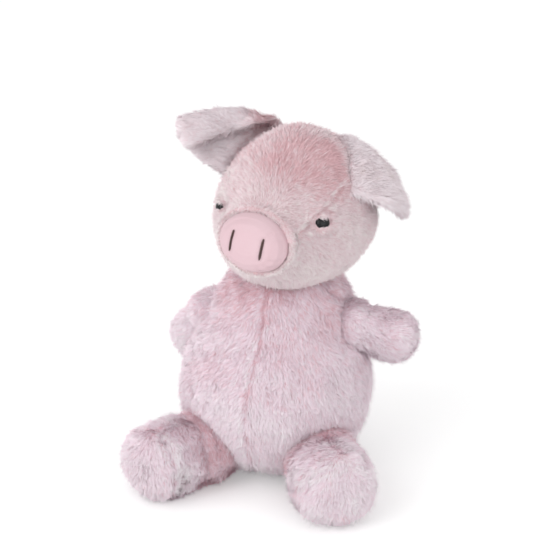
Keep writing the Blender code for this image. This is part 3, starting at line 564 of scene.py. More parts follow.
def pile_mesh(name, roots, middles, tips, steps, tones, normals):
    """Each tuft is a tapering ribbon of three triangles. Its map runs along it and by its tone.

    The tufts take most of their shading from the skin under them, as dense soft fibres do.
    """
    count = len(roots)
    corners = np.stack((roots - steps, roots + steps, middles + steps * 0.85,
                        middles - steps * 0.85, tips), axis=1)
    order = np.array([[0, 1, 2], [0, 2, 3], [3, 2, 4]])
    index = (np.arange(count) * 5)[:, None, None] + order[None]
    mesh = bpy.data.meshes.new(name)
    mesh.vertices.add(count * 5)
    mesh.vertices.foreach_set("co", corners.astype(np.float32).ravel())
    mesh.loops.add(count * 9)
    mesh.loops.foreach_set("vertex_index", index.astype(np.int32).ravel())
    mesh.polygons.add(count * 3)
    mesh.polygons.foreach_set("loop_start", np.arange(count * 3, dtype=np.int32) * 3)
    mesh.update(calc_edges=True)
    along = np.array([[0.02, 0.02, 0.5], [0.02, 0.5, 0.5], [0.5, 0.5, 0.98]])
    across = np.array([[-1, 1, 1], [-1, 1, -1], [-1, 1, 0]]) * 0.0012
    places = np.empty((count, 3, 3, 2), np.float32)
    places[..., 0] = (0.02 + 0.96 * tones)[:, None, None] + across[None]
    places[..., 1] = along[None]
    for layer in ("Pile", "OFBake"):
        mesh.uv_layers.new(name=layer).data.foreach_set("uv", places.ravel())
    mesh.shade_smooth()
    facing = unit(np.cross(steps, tips - roots))
    facing *= np.where(dot(facing, normals) < 0, -1.0, 1.0)
    skin_share = 0.75 - 0.35 * smooth_step(0.2, 0.8, normals[:, 2:])
    shading = unit(normals * skin_share + facing * (1 - skin_share))
    mesh.normals_split_custom_set_from_vertices(np.repeat(shading, 5, axis=0))
    return mesh


def grow(name, seed, skin, coat, body, material, parts):
    """Grows the pile and puts it on its body, cut into panels that stay light enough."""
    grown = strands(seed, skin, coat)
    roots = grown[0]
    panels = {"": np.ones(len(roots), bool)} if parts is None else parts(roots)
    for label, chosen in panels.items():
        order = np.flatnonzero(chosen)
        pieces = -(-len(order) // MOST_STRANDS)
        for number in range(pieces):
            take = order[number::pieces]
            full = name + label + ("_" + "abcdef"[number] if pieces > 1 else "")
            mesh = pile_mesh(full, *(values[take] for values in grown))
            put(full, mesh, body, material)


# Materials

def new_material(name):
    material = bpy.data.materials.new(name)
    material.use_nodes = True
    return material, material.node_tree, material.node_tree.nodes["Principled BSDF"]


def new_group(name, inputs, outputs):
    """A node group with named sockets: (name, kind, default) in, (name, kind) out."""
    group = bpy.data.node_groups.new(name, "ShaderNodeTree")
    for label, kind, default in inputs:
        socket = group.interface.new_socket(
            label, in_out="INPUT", socket_type="NodeSocket" + kind)
        socket.default_value = default
    for label, kind in outputs:
        group.interface.new_socket(label, in_out="OUTPUT", socket_type="NodeSocket" + kind)
    return group, group.nodes.new("NodeGroupInput"), group.nodes.new("NodeGroupOutput")


def feed(tree, socket, value):
    """Links a socket to another one, or sets its value."""
    if isinstance(value, bpy.types.NodeSocket):
        tree.links.new(value, socket)
    else:
        socket.default_value = value


def mixed(tree, share, low, high):
    """A colour mix. Each argument is a socket or a value."""
    node = tree.nodes.new("ShaderNodeMix")
    node.data_type = "RGBA"
    for socket, value in ((node.inputs["Factor"], share), (node.inputs[6], low),
                          (node.inputs[7], high)):
        feed(tree, socket, value)
    return node.outputs[2]


def maths(tree, operation, *values):
    node = tree.nodes.new("ShaderNodeMath")
    node.operation = operation
    for socket, value in zip(node.inputs, values):
        feed(tree, socket, value)
    return node.outputs[0]


def ranged(tree, value, low, high, to_low=0.0, to_high=1.0):
    node = tree.nodes.new("ShaderNodeMapRange")
    node.interpolation_type = "SMOOTHSTEP"
    for label, number in (("Value", value), ("From Min", low), ("From Max", high),
                          ("To Min", to_low), ("To Max", to_high)):
        feed(tree, node.inputs[label], number)
    return node.outputs["Result"]


def noise(tree, scale, detail=3.0):
    node = tree.nodes.new("ShaderNodeTexNoise")
    feed(tree, node.inputs["Scale"], scale)
    node.inputs["Detail"].default_value = detail
    place = tree.nodes.new("ShaderNodeTexCoord").outputs["Object"]
    tree.links.new(place, node.inputs["Vector"])
    return node.outputs["Fac"]


def colour4(values):
    return (*values, 1.0)


def pile_group():
    """The colour of one tuft, from its tone and from how far along it the point lies."""
    group, given, out = new_group("Pile colour", [
        ("Tone", "Float", 0.5), ("Along", "Float", 0.5), ("Deep", "Color", (0.3, 0.1, 0.1, 1.0)),
        ("Rose", "Color", (0.5, 0.3, 0.3, 1.0)), ("Pink", "Color", (0.7, 0.5, 0.5, 1.0)),
        ("Pale", "Color", (0.8, 0.7, 0.7, 1.0))], [("Colour", "Color")])
    inside = given.outputs
    warm = mixed(group, ranged(group, inside["Tone"], 0.0, 0.55), inside["Rose"], inside["Pink"])
    tip = mixed(group, ranged(group, inside["Tone"], 0.5, 1.0), warm, inside["Pale"])
    # Darker towards the foot of each tuft: painted shade among the fibres.
    colour = mixed(group, ranged(group, inside["Along"], -0.25, 0.55), inside["Deep"], tip)
    group.links.new(colour, out.inputs["Colour"])
    return group


def pile_material(name, group, *shades):
    """Plush pile. The shades are its foot, its rosy tips, its middling tips and its palest tips."""
    material, tree, shader = new_material(name)
    place = tree.nodes.new("ShaderNodeUVMap")
    place.uv_map = "Pile"
    split = tree.nodes.new("ShaderNodeSeparateXYZ")
    tree.links.new(place.outputs["UV"], split.inputs["Vector"])
    tuft = tree.nodes.new("ShaderNodeGroup")
    tuft.node_tree = group
    tree.links.new(split.outputs["X"], tuft.inputs["Tone"])
    tree.links.new(split.outputs["Y"], tuft.inputs["Along"])
    for label, shade in zip(("Deep", "Rose", "Pink", "Pale"), shades):
        tuft.inputs[label].default_value = colour4(shade)
    tree.links.new(tuft.outputs["Colour"], shader.inputs["Base Color"])
    for label, value in (("Roughness", 0.62), ("Specular IOR Level", 0.25),
                         ("Sheen Weight", 0.12), ("Sheen Roughness", 0.5),
                         ("Sheen Tint", (1.0, 0.86, 0.90, 1.0))):
        shader.inputs[label].default_value = value
    return material


def nap_group():
    """A short matted nap: mottled colour and a height for a bump."""
    group, given, out = new_group("Short nap", [
        ("Light", "Color", (0.8, 0.6, 0.6, 1.0)), ("Dark", "Color", (0.5, 0.3, 0.3, 1.0)),
        ("Fine", "Float", 900.0), ("Broad", "Float", 60.0)],
        [("Colour", "Color"), ("Height", "Float")])
    fine = noise(group, given.outputs["Fine"], detail=4.0)
    spots = ranged(group, fine, 0.3, 0.7)
    cloud = ranged(group, noise(group, given.outputs["Broad"], detail=2.0), 0.3, 0.7)
    both = maths(group, "MULTIPLY_ADD", spots, 0.6, maths(group, "MULTIPLY", cloud, 0.4))
    colour = mixed(group, both, given.outputs["Dark"], given.outputs["Light"])
    group.links.new(colour, out.inputs["Colour"])
    group.links.new(fine, out.inputs["Height"])
    return group


def nap_material(name, group, light, dark, depth, fine=900.0, broad=60.0, roughness=0.9,
                 sheen=0.2):
    material, tree, shader = new_material(name)
    nap = tree.nodes.new("ShaderNodeGroup")
    nap.node_tree = group
    for label, value in (("Light", colour4(light)), ("Dark", colour4(dark)), ("Fine", fine),
                         ("Broad", broad)):
        nap.inputs[label].default_value = value
    bump = tree.nodes.new("ShaderNodeBump")
    bump.inputs["Distance"].default_value = depth
    bump.inputs["Strength"].default_value = 1.0
    tree.links.new(nap.outputs["Height"], bump.inputs["Height"])
    tree.links.new(bump.outputs["Normal"], shader.inputs["Normal"])
    tree.links.new(nap.outputs["Colour"], shader.inputs["Base Color"])
    shader.inputs["Roughness"].default_value = roughness
    shader.inputs["Sheen Weight"].default_value = sheen
    return material


MATERIALS = {}


def make_materials():
    colours = settings("colours")
    tuft, nap = pile_group(), nap_group()
    shade, cream = np.array(colours.shade), np.array(colours.cream)
    ear_pink = shade * 0.4 + cream * 0.6
    for kind, name, shades in (
            ("pile", "Plush pile", (colours.deep, colours.rose, colours.pink, colours.pale)),
            # The head's pile and backing take the head's greyed, darker colours: painted shade over the whole
            # head.
            ("head_pile", "Head plush pile",
             (colours.head_deep, colours.brow, colours.face, colours.cheek)),
            # The left ear's pile falls to the hollow colour in its dent: painted shade.
            ("pale_pile", "Pale plush pile", (shade, colours.hollow, ear_pink, cream)),
            # The right ear's pile darkens to the brow colour at its base: painted shade.
            ("blush_pile", "Plush pile shaded at the base", (shade, colours.brow, ear_pink, cream))):
        MATERIALS[kind] = pile_material(name, tuft, *shades)
    # Each backing is mottled between its pile's colour and a darker one. The darkness is painted shade between the
    # tufts.
    for kind, name, light, dark in (
            ("backing", "Plush backing", colours.pink, colours.rose),
            ("head_backing", "Head plush backing", colours.face, colours.brow),
            ("pale_backing", "Pale plush backing", shade * 0.5 + cream * 0.5, shade)):
        MATERIALS[kind] = nap_material(name, nap, light, dark, 0.0006)
    MATERIALS["blush_backing"] = MATERIALS["pale_backing"]
    velour, thread = np.array(colours.velour), np.array(colours.thread)
    MATERIALS["velour"] = nap_material(
        "Snout velour", nap, velour, velour * (0.96, 0.91, 0.92), 0.00008, fine=2200.0,
        broad=45.0, roughness=0.8, sheen=0.15)
    MATERIALS["thread"] = nap_material(
        "Brown thread", nap, thread * 1.6, thread * 0.6, 0.00005, fine=5000.0, broad=300.0,
        roughness=0.55, sheen=0.1)
    MATERIALS["bag"] = nap_material(
        "Pellet bag cloth", nap, (0.74, 0.72, 0.66), (0.60, 0.57, 0.50), 0.0002, fine=1400.0)
    MATERIALS["washer"] = nap_material(
        "Washer plastic", nap, (0.80, 0.80, 0.78), (0.72, 0.72, 0.70), 0.00002,
        roughness=0.45, sheen=0.0)
    material, tree, shader = new_material("Eye button")
    gloss = ranged(tree, noise(tree, 260.0), 0.3, 0.7, 0.06, 0.14)
    tree.links.new(gloss, shader.inputs["Roughness"])
    tint = mixed(tree, noise(tree, 90.0), colour4(colours.eye),
                 colour4(np.array(colours.eye) * 1.8))
    tree.links.new(tint, shader.inputs["Base Color"])
    shader.inputs["Specular IOR Level"].default_value = 0.3
    MATERIALS["eye"] = material


# The plush pieces

def all_covers_but(body):
    return [node for other, members in frame["record"]["behaviour"]["bodies"].items()
            if other != body
            for node in members if "stuffing" not in node and "bag" not in node]


def plush(name, body, nodes, rules, kind="", relaxed=14, sunk=1.0,
          parts=None):
    """A stuffed skin with its pile. The rules get the skin and return its coat."""
    pile, seed = settings("pile"), SEEDS[name]
    skin = Skin(nodes, VOXELS[name.split("_")[0]], relaxed)
    room = skin.clearance(node_tree(*all_covers_but(body)), pile.length)
    skin.move(Waves(seed + 9, 0.032)(skin.points)[:, 0] * 0.0006 - pile.sink * sunk)
    coat = rules(skin)
    coat.length = coat.length * np.clip(room / pile.length, 0.45, 1.0)
    piece = put(name, skin.finished(name), body, MATERIALS[kind + "backing"])
    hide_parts(*nodes)
    grow(name + "_pile", seed, skin, coat, body, MATERIALS[kind + "pile"], parts)


def by_side(line):
    """Left and right panels, cut where a seam runs down the middle."""
    def parts(roots):
        left = roots[:, 0] > line(roots)
        return {"_left": left, "_right": ~left}
    return parts


def body_middle(points):
    """Where the belly seam runs across, leaning towards the neck."""
    neck = joint_place("head")
    return neck[0] * smooth_step(0.08, neck[2], points[:, 2])


def seam_effect(skin, routes, seam):
    """Draws the skin in along some seams. Returns the dip, the way off it and the distance."""
    depth, width = SEAMS[seam]
    off = off_routes(skin.points, routes)
    away = np.linalg.norm(off, axis=1)
    dip = bell(away, width)
    skin.move(-depth * dip)
    return dip, unit(off) * bell(away, 3 * width)[:, None], away


def stray(points, away, seed):
    """Pale tufts that the needle caught beside a seam, here and there along it."""
    return bell(away - 0.0028, 0.0016) * smooth_step(0.1, 0.9, Waves(seed, 0.009)(points)[:, 0])


def body_rules(skin):
    points, normals = skin.points, skin.normals
    low, high = node_box("body_cover")
    depth, width = SEAMS["belly"]
    across = points[:, 0] - body_middle(points)
    front = smooth_step(0.0, 0.3, -normals[:, 1])
    seam = bell(across, width) * front
    skin.move(-depth * seam)
    arm = on_node(ARM_SEAM, "body_cover")
    arms = [arm, mirrored(arm, np.zeros(3), np.array([1.0, 0.0, 0.0]))]
    hole, aside, _ = seam_effect(skin, arms, "armhole")
    nap = np.zeros_like(points)
    nap[:, 2] = -1.0
    nap[:, 0] = np.sign(across) * (0.25 + 0.5 * bell(across, 0.008))
    nap += aside * 0.8
    share = points[:, 2] / (high[2] - low[2])
    neck = smooth_step(0.62, 0.95, share)
    chest = near(points, on_node(CHEST_SHADE, "body_cover")[0], 0.04)
    # Darker at the neck under the head, on the chest below the chin, in the belly seam's groove and round the
    # armholes: painted shade.
    tone = 0.56 - 0.22 * neck - 0.16 * chest - 0.36 * seam - 0.30 * hole
    tone = tone + mottle(points, 31, 0.05, 0.05)
    # Paler towards the bottom of the body: painted light on the lower belly.
    tone = tone + 0.24 * smooth_step(0.55, 0.1, share)
    tone = tone + 0.35 * stray(points, np.abs(across) / front.clip(0.1), 32)
    # Darker near the leg roots: painted shade in the hip creases.
    for side in SIDES:
        tone = tone - 0.16 * near(points, joint_place("leg_" + side), 0.055)
    return Coat(nap, 0.98 - 0.35 * seam - 0.2 * hole, tone)


def head_axes():
    """The head's middle and its side and front ways, from the joint and the snout."""
    side = unit(np.array(joint_of("head")["axis"]))
    middle = node_middle("head_cover")
    ahead = node_middle("snout_pad") - middle
    ahead = unit(ahead - side * (ahead @ side))
    return middle, side, ahead


def eye_places(points, side):
    """Where points lie round one eye: across it, up it and out along its stem."""
    centre, washer = node_middle("eye_" + side), node_middle("eye_washer_" + side)
    stem = unit(centre - washer)
    up = unit(UP - stem * stem[2])
    across = np.cross(up, stem)
    off = points - centre
    return off @ across, off @ up, off @ stem, across, up


def eyelids(points):
    """How high the skin stands round the eyes, where its pile leans to, how much it is cut
    short, and where the opening is."""
    count = len(points)
    rise, lean, short = np.zeros(count), np.zeros_like(points), np.zeros(count)
    opening = np.zeros(count, bool)
    for side in SIDES:
        across, up, out, across_way, up_way = eye_places(points, side)
        wide, high = EYE_OPENING[side]
        above, level = up > 0, np.abs(out) < EYE_REACH
        oval = np.sqrt((across / wide) ** 2 + (up / high / np.where(above, UPPER_LID, 1.0)) ** 2)
        ring = level * (1 - smooth_step(1.0, 2.6, oval))
        steep = np.abs(up) / np.maximum(np.hypot(across, up), 1e-6)
        lid = ring * smooth_step(0.75, 1.0, oval) * (0.2 + 0.8 * steep) * LID_HEIGHT[side]
        rise = np.maximum(rise, lid)
        over = smooth_step(0.35, 0.8, steep)
        lean -= up_way * np.where(above, 1.0, -0.25)[:, None] * (ring * over)[:, None] * 3.0
        lean += across_way * np.sign(across)[:, None] * (ring * (1 - over))[:, None] * 2.5
        short = np.maximum(short, ring * np.where(above, 0.25, 1.0))
        opening |= (oval < 0.95) & level
    return rise, lean, short, opening


def rosy(points, route, reach):
    """1 at places on the head given in the picture, falling to 0 at the reach."""
    return np.clip(sum(near(points, place, reach) for place in on_node(route, "head_cover")), 0, 1)


def head_rules(skin):
    middle, side_way, ahead = head_axes()
    snout = node_middle("snout_pad")
    face = on_node(FACE_SEAM, "head_cover")
    dip, aside, away = seam_effect(skin, [face, mirrored(face, middle, side_way)], "face")
    pad_tree = node_tree("snout_pad")
    pad = skin.distance_to(pad_tree, 0.02)
    under = skin.clearance(pad_tree, 0.012) < 0.012
    lift = np.where(under, 0.0, bell(pad - 0.003, 0.0035) * 0.0022)
    lids, toward, lash, opening = eyelids(skin.points)
    bare = under | (pad < 0.0010) | opening
    skin.move(lift + lids)
    points = skin.points

    forward = (points - middle) @ ahead
    back = forward / np.abs(forward).max()
    rear = smooth_step(0.1, -0.6, back)[:, None]
    from_pad = unit(points - snout)
    over = bell(pad, 0.0045) * smooth_step(-0.1, 0.6, from_pad[:, 2])
    nap = from_pad * (1 - 0.8 * rear) + np.array([0.0, 0.1, -0.75])
    nap = unit(nap) + aside * 0.9 + toward - from_pad * (1.8 * over)[:, None]

    low, high = node_box("head_cover")
    rise = (points[:, 2] - low[2]) / (high - low)[2]
    brow = smooth_step(0.50, 0.95, rise)
    chin = smooth_step(0.50, 0.15, rise) * smooth_step(-0.3, 0.3, back)
    # Rosier, darker patches on the brow's shaded side and at the left ear's root: painted shade.
    patches = rosy(points, BROW_SHADE, 0.030) + 0.8 * rosy(points, EAR_ROOT_SHADE, 0.015)
    tufts = stray(points, away, 42)
    # The face seam is darker, as painted shade in its groove. The chin is paler, as painted light lifting its
    # shade.
    tone = 0.58 - 0.20 * brow + 0.22 * chin - 0.28 * patches - 0.2 * dip
    tone = tone + mottle(points, 41, 0.04, 0.07) + 0.6 * tufts
    tone = tone + 0.18 * (1 - smooth_step(0.004, 0.012, pad)) * (rise < 0.45)
    # Paler towards the back of the head: painted light that offsets the head's painted shade there.
    tone = tone + 0.20 * smooth_step(-0.1, -0.7, back)
    length = 0.90 - 0.45 * smooth_step(0.030, 0.005, pad) * (1 - lash)
    length = length - 0.42 * lash - 0.25 * dip + 0.4 * tufts
    return Coat(nap, np.where(bare, 0.0, length), tone)


def limb_axis(body, *nodes):
    start = joint_place(body)
    return start, unit(node_middle(*nodes) - start)


def leg_rules(side):
    cover, sole = "leg_cover_" + side, "sole_panel_" + side

    def rules(skin):
        start, way = limb_axis("leg_" + side, cover, sole)
        way[2] = 0.0
        way = unit(way)
        depth, width = SEAMS["sole"]
        ring = ((node_points(cover) - start) @ way).max()
        along = (skin.points - start) @ way
        away = np.abs(along - ring)
        seam = bell(away, width)
        skin.move(-depth * seam)
        if side == "left":
            fold, _, _ = seam_effect(skin, [on_node(TOE_FOLD, sole)], "toe")
            seam = np.maximum(seam, fold)
        points = skin.points
        front = smooth_step(ring - 0.004, ring + 0.004, along)[:, None]
        outward = unit(points - start - way * ring - np.outer(along - ring, way))
        side_way = np.cross(way, UP)
        parted = np.tanh((points - start) @ side_way / 0.008)
        nap = (np.outer(parted, side_way) * 0.9 + way * 0.25 - 0.5 * UP) * (1 - front)
        nap = nap + (outward * 0.35 - 0.9 * UP) * front
        # Darker towards the hip: painted shade in the crease where the leg meets the body.
        root = smooth_step(0.7, 0.1, along / ring)
        caught = distance_off(points, on_node(FOOT_TUFTS[side], cover, sole))
        ridge = bell(caught - 0.0022, 0.0016)
        crease = bell(caught, 0.0013)
        # The tone falls near the hip, along the sole seam and in its crease: painted shade.
        tone = 0.68 - 0.02 * (1 - front[:, 0]) - 0.45 * root - 0.3 * seam
        tone = tone + mottle(points, 51, 0.03, 0.07)
        tone = tone + 0.25 * stray(points, away, 52) + 0.45 * ridge - 0.35 * crease
        return Coat(nap, 0.92 - 0.3 * seam + 0.12 * ridge - 0.35 * crease, tone)
    return rules


def arm_rules(side):
    def rules(skin):
        cover = "arm_cover_" + side
        start, way = limb_axis("arm_" + side, cover)
        along = (skin.points - start) @ way
        share = along / along.max()
        fullest = near(skin.points, on_node(ARM_FULLEST[side], cover)[0], 0.028)
        skin.move(0.0006 * smooth_step(0.1, 0.5, share) + 0.0014 * fullest)
        points = skin.points
        nap = np.tile(way, (len(points), 1)) - 0.35 * UP
        # Darker near the shoulder: painted shade at the arm's root.
        tone = 0.68 - 0.12 * smooth_step(0.3, 0.0, share) + mottle(points, 61, 0.03, 0.07)
        return Coat(nap, np.full(len(points), 0.88), tone)
    return rules


def press_hollow(skin):
    """Presses the left ear in along its hollow. Returns how deep each point lies in it."""
    _, _, _, back = camera_axes()
    tree = node_tree("ear_left_back")
    dent = np.zeros(len(skin.points))
    for place in on_node(EAR_HOLLOW, "ear_left_back"):
        inward = -np.array(tree.find_nearest(Vector(place))[1])
        reach = near(skin.points, place, 0.013)
        skin.points += np.outer(reach * 0.0013 * np.sign(inward @ -np.array(back)), inward)
        dent = np.maximum(dent, reach)
    skin.find_normals()
    return dent


def ear_rules(side, blush):
    """The base shade is how far the ear's base is darkened: painted shade where it meets the head."""
    def rules(skin):
        base, way = limb_axis("ear_" + side, "ear_%s_front" % side, "ear_%s_back" % side)
        along = (skin.points - base) @ way
        dent = press_hollow(skin) if side == "left" else 0.0
        points = skin.points
        nap = np.tile(way, (len(points), 1)) - 0.2 * UP
        tone = 0.82 + mottle(points, 71, 0.03, 0.10)
        # Darker at the base and in the left ear's hollow: painted shade.
        tone = tone - blush * smooth_step(0.35, 0.0, along / along.max()) - 0.55 * dent
        return Coat(nap, np.full(len(points), 1.0), tone)
    return rules


def tail_rules(skin):
    count = len(skin.points)
    return Coat(np.tile((0.0, 1.0, 0.0), (count, 1)), np.full(count, 0.34), np.full(count, 0.6))


# The face

def stitch_line(side):
    """Middle, direction and half length of one nostril."""
    cad = node_points("nostril_stitch_" + side)
    centre = cad.mean(axis=0)
    spine = np.linalg.svd(cad - centre, full_matrices=False)[2][0]
    spine = spine * np.sign(spine[2])
    return centre, spine, np.abs((cad - centre) @ spine).max()


def snout_skin():
    """The pad: fuller in the middle, tucked in at its rim, creased near its edge and drawn in
    along the nostrils."""
    skin = Skin(["snout_pad"], VOXELS["snout"], 14)
    _, side_way, ahead = head_axes()
    off = skin.points - node_middle("snout_pad")
    flat = off - dot(off, ahead) * ahead
    across, up = flat @ side_way, flat @ np.cross(side_way, ahead)
    reach = np.hypot(across / np.abs(across).max(), up / np.abs(up).max())
    swell = 0.0012 * (1 - np.clip(reach, 0, 1) ** 2) - 0.0010 * smooth_step(0.80, 1.0, reach)
    turn = np.arctan2(up, across)
    for place in SNOUT_CREASES:
        gap = np.abs((turn - place + pi) % (2 * pi) - pi) * np.linalg.norm(flat, axis=1)
        swell -= 0.0008 * bell(gap, 0.0014) * smooth_step(0.45, 0.85, reach)
    for side in SIDES:
        centre, spine, half = stitch_line(side)
        gap = distance_off(skin.points, np.array([centre - spine * half, centre + spine * half]))
        swell -= 0.0007 * bell(gap, 0.0026)
    skin.move(swell * smooth_step(0.2, 0.7, skin.normals @ ahead))
    return skin


def join_rings(mesh, rings):
    """Faces between closed rings of points."""
    for low, high in zip(rings, rings[1:]):
        for step in range(len(low)):
            after = (step + 1) % len(low)
            mesh.faces.new([low[step], low[after], high[after], high[step]])
    mesh.faces.new(rings[0][::-1])


def tube(mesh, points, radius, sides):
    """A closed round tube through some points, with its ends drawn in."""
    rings = []
    last = len(points) - 1
    side_way = Vector((0.3, 0.2, 0.9))
    for index, point in enumerate(points):
        ahead = points[min(index + 1, last)] - points[max(index - 1, 0)]
        ahead.normalize()
        side_way = (side_way - ahead * side_way.dot(ahead)).normalized()
        up_way = ahead.cross(side_way)
        full = radius * (0.55 if index in (0, last) else 1.0)
        angles = [2 * pi * step / sides for step in range(sides)]
        rings.append([mesh.verts.new(point + (side_way * cos(angle) + up_way * sin(angle)) * full)
                      for angle in angles])
    join_rings(mesh, rings)
    mesh.faces.new(rings[-1])


def nostril_mesh(side, tree):
    """A bar of satin stitch: short threads laid side by side across the line of the nostril."""
    middle, spine, half = stitch_line(side)
    middle, spine = Vector(middle), Vector(spine)
    outward = tree.find_nearest(middle)[1]
    across = spine.cross(outward).normalized()
    mesh = bmesh.new()
    for number in range(THREADS):
        share = number / (THREADS - 1) * 2 - 1
        wide = BAR_HALF_WIDTH * sqrt(max(1 - share ** 4, 0.12))
        centre = middle + spine * (half * share)
        points = []
        for lean in (-1.0, -0.5, 0.0, 0.5, 1.0):
            spot = centre + across * wide * lean + spine * (0.0005 * lean)
            on, way, _, _ = tree.find_nearest(spot)
            points.append(on + way * (0.0002 + 0.0009 * (1 - lean * lean)))
        tube(mesh, points, THREAD_RADIUS, THREAD_SIDES)
    return mesh_from(mesh, "nostril_thread_" + side)


def eye_mesh(side):
    """A domed button turned about the axis of its stem, out of the model's own eye."""
    cad = node_points("eye_" + side)
    washer = node_middle("eye_washer_" + side)
    stem = Vector(cad.mean(axis=0) - washer).normalized()
    along = (cad - washer) @ np.array(stem)
    off = np.linalg.norm(cad - washer - np.outer(along, np.array(stem)), axis=1)
    radius, top = off.max(), along.max()
    flat = along[off > radius * 0.97].min()
    edge = flat + EYE_EDGE
    profile = [(0.28 * radius, flat - STEM_LENGTH), (0.28 * radius, flat), (0.93 * radius, flat),
               (radius, edge)]
    for step in range(1, DOME_STEPS):
        angle = pi / 2 * step / DOME_STEPS
        profile.append((radius * cos(angle), edge + (top - edge) * sin(angle)))
    mesh = bmesh.new()
    turns = [2 * pi * step / EYE_SIDES for step in range(EYE_SIDES)]
    rings = [[mesh.verts.new((wide * cos(turn), wide * sin(turn), high)) for turn in turns]
             for wide, high in profile]
    tip = mesh.verts.new((0.0, 0.0, top))
    join_rings(mesh, rings)
    for step in range(EYE_SIDES):
        mesh.faces.new([rings[-1][step], rings[-1][(step + 1) % EYE_SIDES], tip])
    turned = stem.to_track_quat("Z", "Y").to_matrix().to_4x4()
    mesh.transform(Matrix.Translation(Vector(washer)) @ turned)
    return mesh_from(mesh, "eye_button_" + side)


# Operators

class PIG_OT_materials(bpy.types.Operator):
    """Makes the plush, velour, thread, cloth, plastic and eye materials"""
    bl_idname = "pig.materials"
    bl_label = "Materials"

    def execute(self, context):
        make_materials()
        return {"FINISHED"}


class PIG_OT_body(bpy.types.Operator):
    """Dresses the body in its plush"""
    bl_idname = "pig.body"
    bl_label = "Body"

    def execute(self, context):
        plush("body_plush", "body", ["body_cover", "body_stuffing"], body_rules,
              parts=by_side(body_middle))
        return {"FINISHED"}


class PIG_OT_head(bpy.types.Operator):
    """Dresses the head in its plush"""
    bl_idname = "pig.head"
    bl_label = "Head"

    def execute(self, context):
        middle = node_middle("head_cover")[0]
        plush("head_plush", "head", ["head_cover", "head_stuffing"], head_rules, kind="head_",
              parts=by_side(lambda roots: middle))
        return {"FINISHED"}


class PIG_OT_limbs(bpy.types.Operator):
    """Dresses the arms and the legs in their plush"""
    bl_idname = "pig.limbs"
    bl_label = "Arms and legs"

    def execute(self, context):
        for side in SIDES:
            plush("arm_plush_" + side, "arm_" + side,
                  ["arm_cover_" + side, "arm_stuffing_" + side], arm_rules(side))
            plush("leg_plush_" + side, "leg_" + side,
                  ["leg_cover_" + side, "leg_stuffing_" + side, "sole_panel_" + side],
                  leg_rules(side))
        return {"FINISHED"}


class PIG_OT_ears(bpy.types.Operator):
    """Dresses both ears in their pale plush, the right one with painted shade at its base"""
    bl_idname = "pig.ears"
    bl_label = "Ears"

    def execute(self, context):
        for side, kind, blush in (("left", "pale_", 0.05), ("right", "blush_", 0.60)):
            plush("ear_plush_" + side, "ear_" + side,
                  ["ear_%s_front" % side, "ear_%s_back" % side], ear_rules(side, blush),
                  kind=kind, relaxed=6, sunk=0.2)
        return {"FINISHED"}


class PIG_OT_tail(bpy.types.Operator):
    """Dresses the curled tail"""
    bl_idname = "pig.tail"
    bl_label = "Tail"

    def execute(self, context):
        plush("tail_plush", "tail", ["tail"], tail_rules, relaxed=3)
        return {"FINISHED"}


class PIG_OT_face(bpy.types.Operator):
    """Makes the snout pad, its nostril stitches and the eyes"""
    bl_idname = "pig.face"
    bl_label = "Face"

    def execute(self, context):
        skin = snout_skin()
        pad = put("snout_velour", skin.finished("snout_velour"), "head",
                  MATERIALS["velour"])
        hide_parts("snout_pad")
        tree = skin.tree()
        for side in SIDES:
            thread = put("nostril_thread_" + side, nostril_mesh(side, tree), "head",
                         MATERIALS["thread"])
            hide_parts("nostril_stitch_" + side)
            button = put("eye_button_" + side, eye_mesh(side), "head",
                         MATERIALS["eye"])
            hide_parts("eye_" + side)
        return {"FINISHED"}


class PIG_OT_hidden(bpy.types.Operator):
    """Makes the pellet bag inside the pig and gives the washers their plastic"""
    bl_idname = "pig.hidden"
    bl_label = "Inside"

    def execute(self, context):
        skin = Skin(["pellet_bag"], VOXELS["bag"], 12)
        bag = put("pellet_cloth_bag", skin.finished("pellet_cloth_bag"), "body",
                  MATERIALS["bag"])
        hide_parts("pellet_bag")
        for side in SIDES:
            washer = frame["nodes"]["eye_washer_" + side]
            washer.material_slots[0].material = MATERIALS["washer"]
        return {"FINISHED"}


def make_floor(stage):
    mesh = bmesh.new()
    bmesh.ops.create_grid(mesh, x_segments=1, y_segments=1, size=stage.floor / 2)
    sheet = bpy.data.meshes.new("floor")
    mesh.to_mesh(sheet)
    mesh.free()
    floor = bpy.data.objects.new("floor", sheet)
    floor.location = (0.0, 0.0, cad_low.z)
    bpy.context.scene.collection.objects.link(floor)
    material, tree, shader = new_material("Pale floor")
    tint = mixed(tree, noise(tree, 3.0), (0.93, 0.93, 0.93, 1.0), (0.95, 0.95, 0.95, 1.0))
    tree.links.new(tint, shader.inputs["Base Color"])
    path = tree.nodes.new("ShaderNodeLightPath")
    lit = maths(tree, "MULTIPLY", path.outputs["Is Camera Ray"], 0.28)
    tree.links.new(lit, shader.inputs["Emission Strength"])
    shader.inputs["Emission Color"].default_value = (1.0, 1.0, 1.0, 1.0)
    shader.inputs["Roughness"].default_value = 0.9
    sheet.materials.append(material)


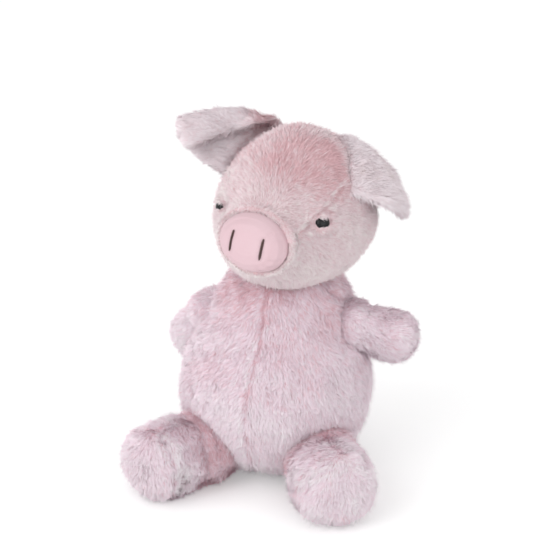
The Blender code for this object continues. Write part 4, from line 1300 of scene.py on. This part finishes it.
def make_light(stage):
    """An even sky that looks white, and two large soft lamps."""
    world = bpy.data.worlds.new("Studio")
    world.use_nodes = True
    tree = world.node_tree
    path = tree.nodes.new("ShaderNodeLightPath").outputs
    seen = maths(tree, "MAXIMUM", path["Is Camera Ray"], path["Is Glossy Ray"])
    sky = tree.nodes["Background"]
    tree.links.new(ranged(tree, seen, 0.0, 1.0, stage.sky, 1.0), sky.inputs["Strength"])
    sky.inputs["Color"].default_value = (1.0, 1.0, 1.0, 1.0)
    bpy.context.scene.world = world
    for name, place, size, share in (("key", (-0.75, -1.2, 0.85), 1.3, 1.0),
                                     ("fill", (1.1, -0.9, 0.4), 1.2, 0.42)):
        lamp = bpy.data.lights.new(name, "AREA")
        lamp.energy = stage.key_power * share
        lamp.size = size
        light = bpy.data.objects.new(name, lamp)
        light.location = place
        aim = Vector((0.0, 0.0, 0.13)) - Vector(place)
        light.rotation_euler = aim.to_track_quat("-Z", "Y").to_euler()
        bpy.context.scene.collection.objects.link(light)


def make_camera(stage):
    lens = bpy.data.cameras.new("camera")
    lens.lens = stage.lens
    lens.sensor_width = SENSOR
    camera = bpy.data.objects.new("camera", lens)
    camera.location, _, _, back = camera_axes()
    camera.rotation_euler = (-back).to_track_quat("-Z", "Y").to_euler()
    bpy.context.scene.collection.objects.link(camera)
    bpy.context.scene.camera = camera


class PIG_OT_stage(bpy.types.Operator):
    """Makes the floor, the soft light and the camera"""
    bl_idname = "pig.stage"
    bl_label = "Stage"

    def execute(self, context):
        context.scene.view_settings.view_transform = "Standard"
        for make in (make_floor, make_light, make_camera):
            make(settings("stage"))
        return {"FINISHED"}


class PIG_PT_panel(bpy.types.Panel):
    """The pieces of the plush pig"""
    bl_idname = "PIG_PT_panel"
    bl_label = "Plush pig"
    bl_space_type = "VIEW_3D"
    bl_region_type = "UI"
    bl_category = "Plush pig"

    def draw(self, context):
        for operator in OPERATORS:
            self.layout.operator(operator.bl_idname)
        for name, group in SETTINGS.items():
            box = self.layout.box()
            box.label(text=name.capitalize())
            for label in group.__annotations__:
                box.prop(settings(name), label)


SETTINGS = {"pile": PileSettings, "colours": ColourSettings, "stage": StageSettings}
OPERATORS = (PIG_OT_stage, PIG_OT_materials, PIG_OT_body, PIG_OT_head, PIG_OT_limbs,
             PIG_OT_ears, PIG_OT_tail, PIG_OT_face, PIG_OT_hidden)


def register():
    for cls in (*SETTINGS.values(), *OPERATORS, PIG_PT_panel):
        bpy.utils.register_class(cls)
    for name, group in SETTINGS.items():
        setattr(bpy.types.Scene, "plush_" + name, PointerProperty(type=group))


def unregister():
    for name in SETTINGS:
        delattr(bpy.types.Scene, "plush_" + name)
    for cls in (PIG_PT_panel, *reversed(OPERATORS), *SETTINGS.values()):
        bpy.utils.unregister_class(cls)


def main():
    register()
    for operator in OPERATORS:
        group, name = operator.bl_idname.split(".")
        getattr(getattr(bpy.ops, group), name)()


if __name__ == "__main__":
    main()
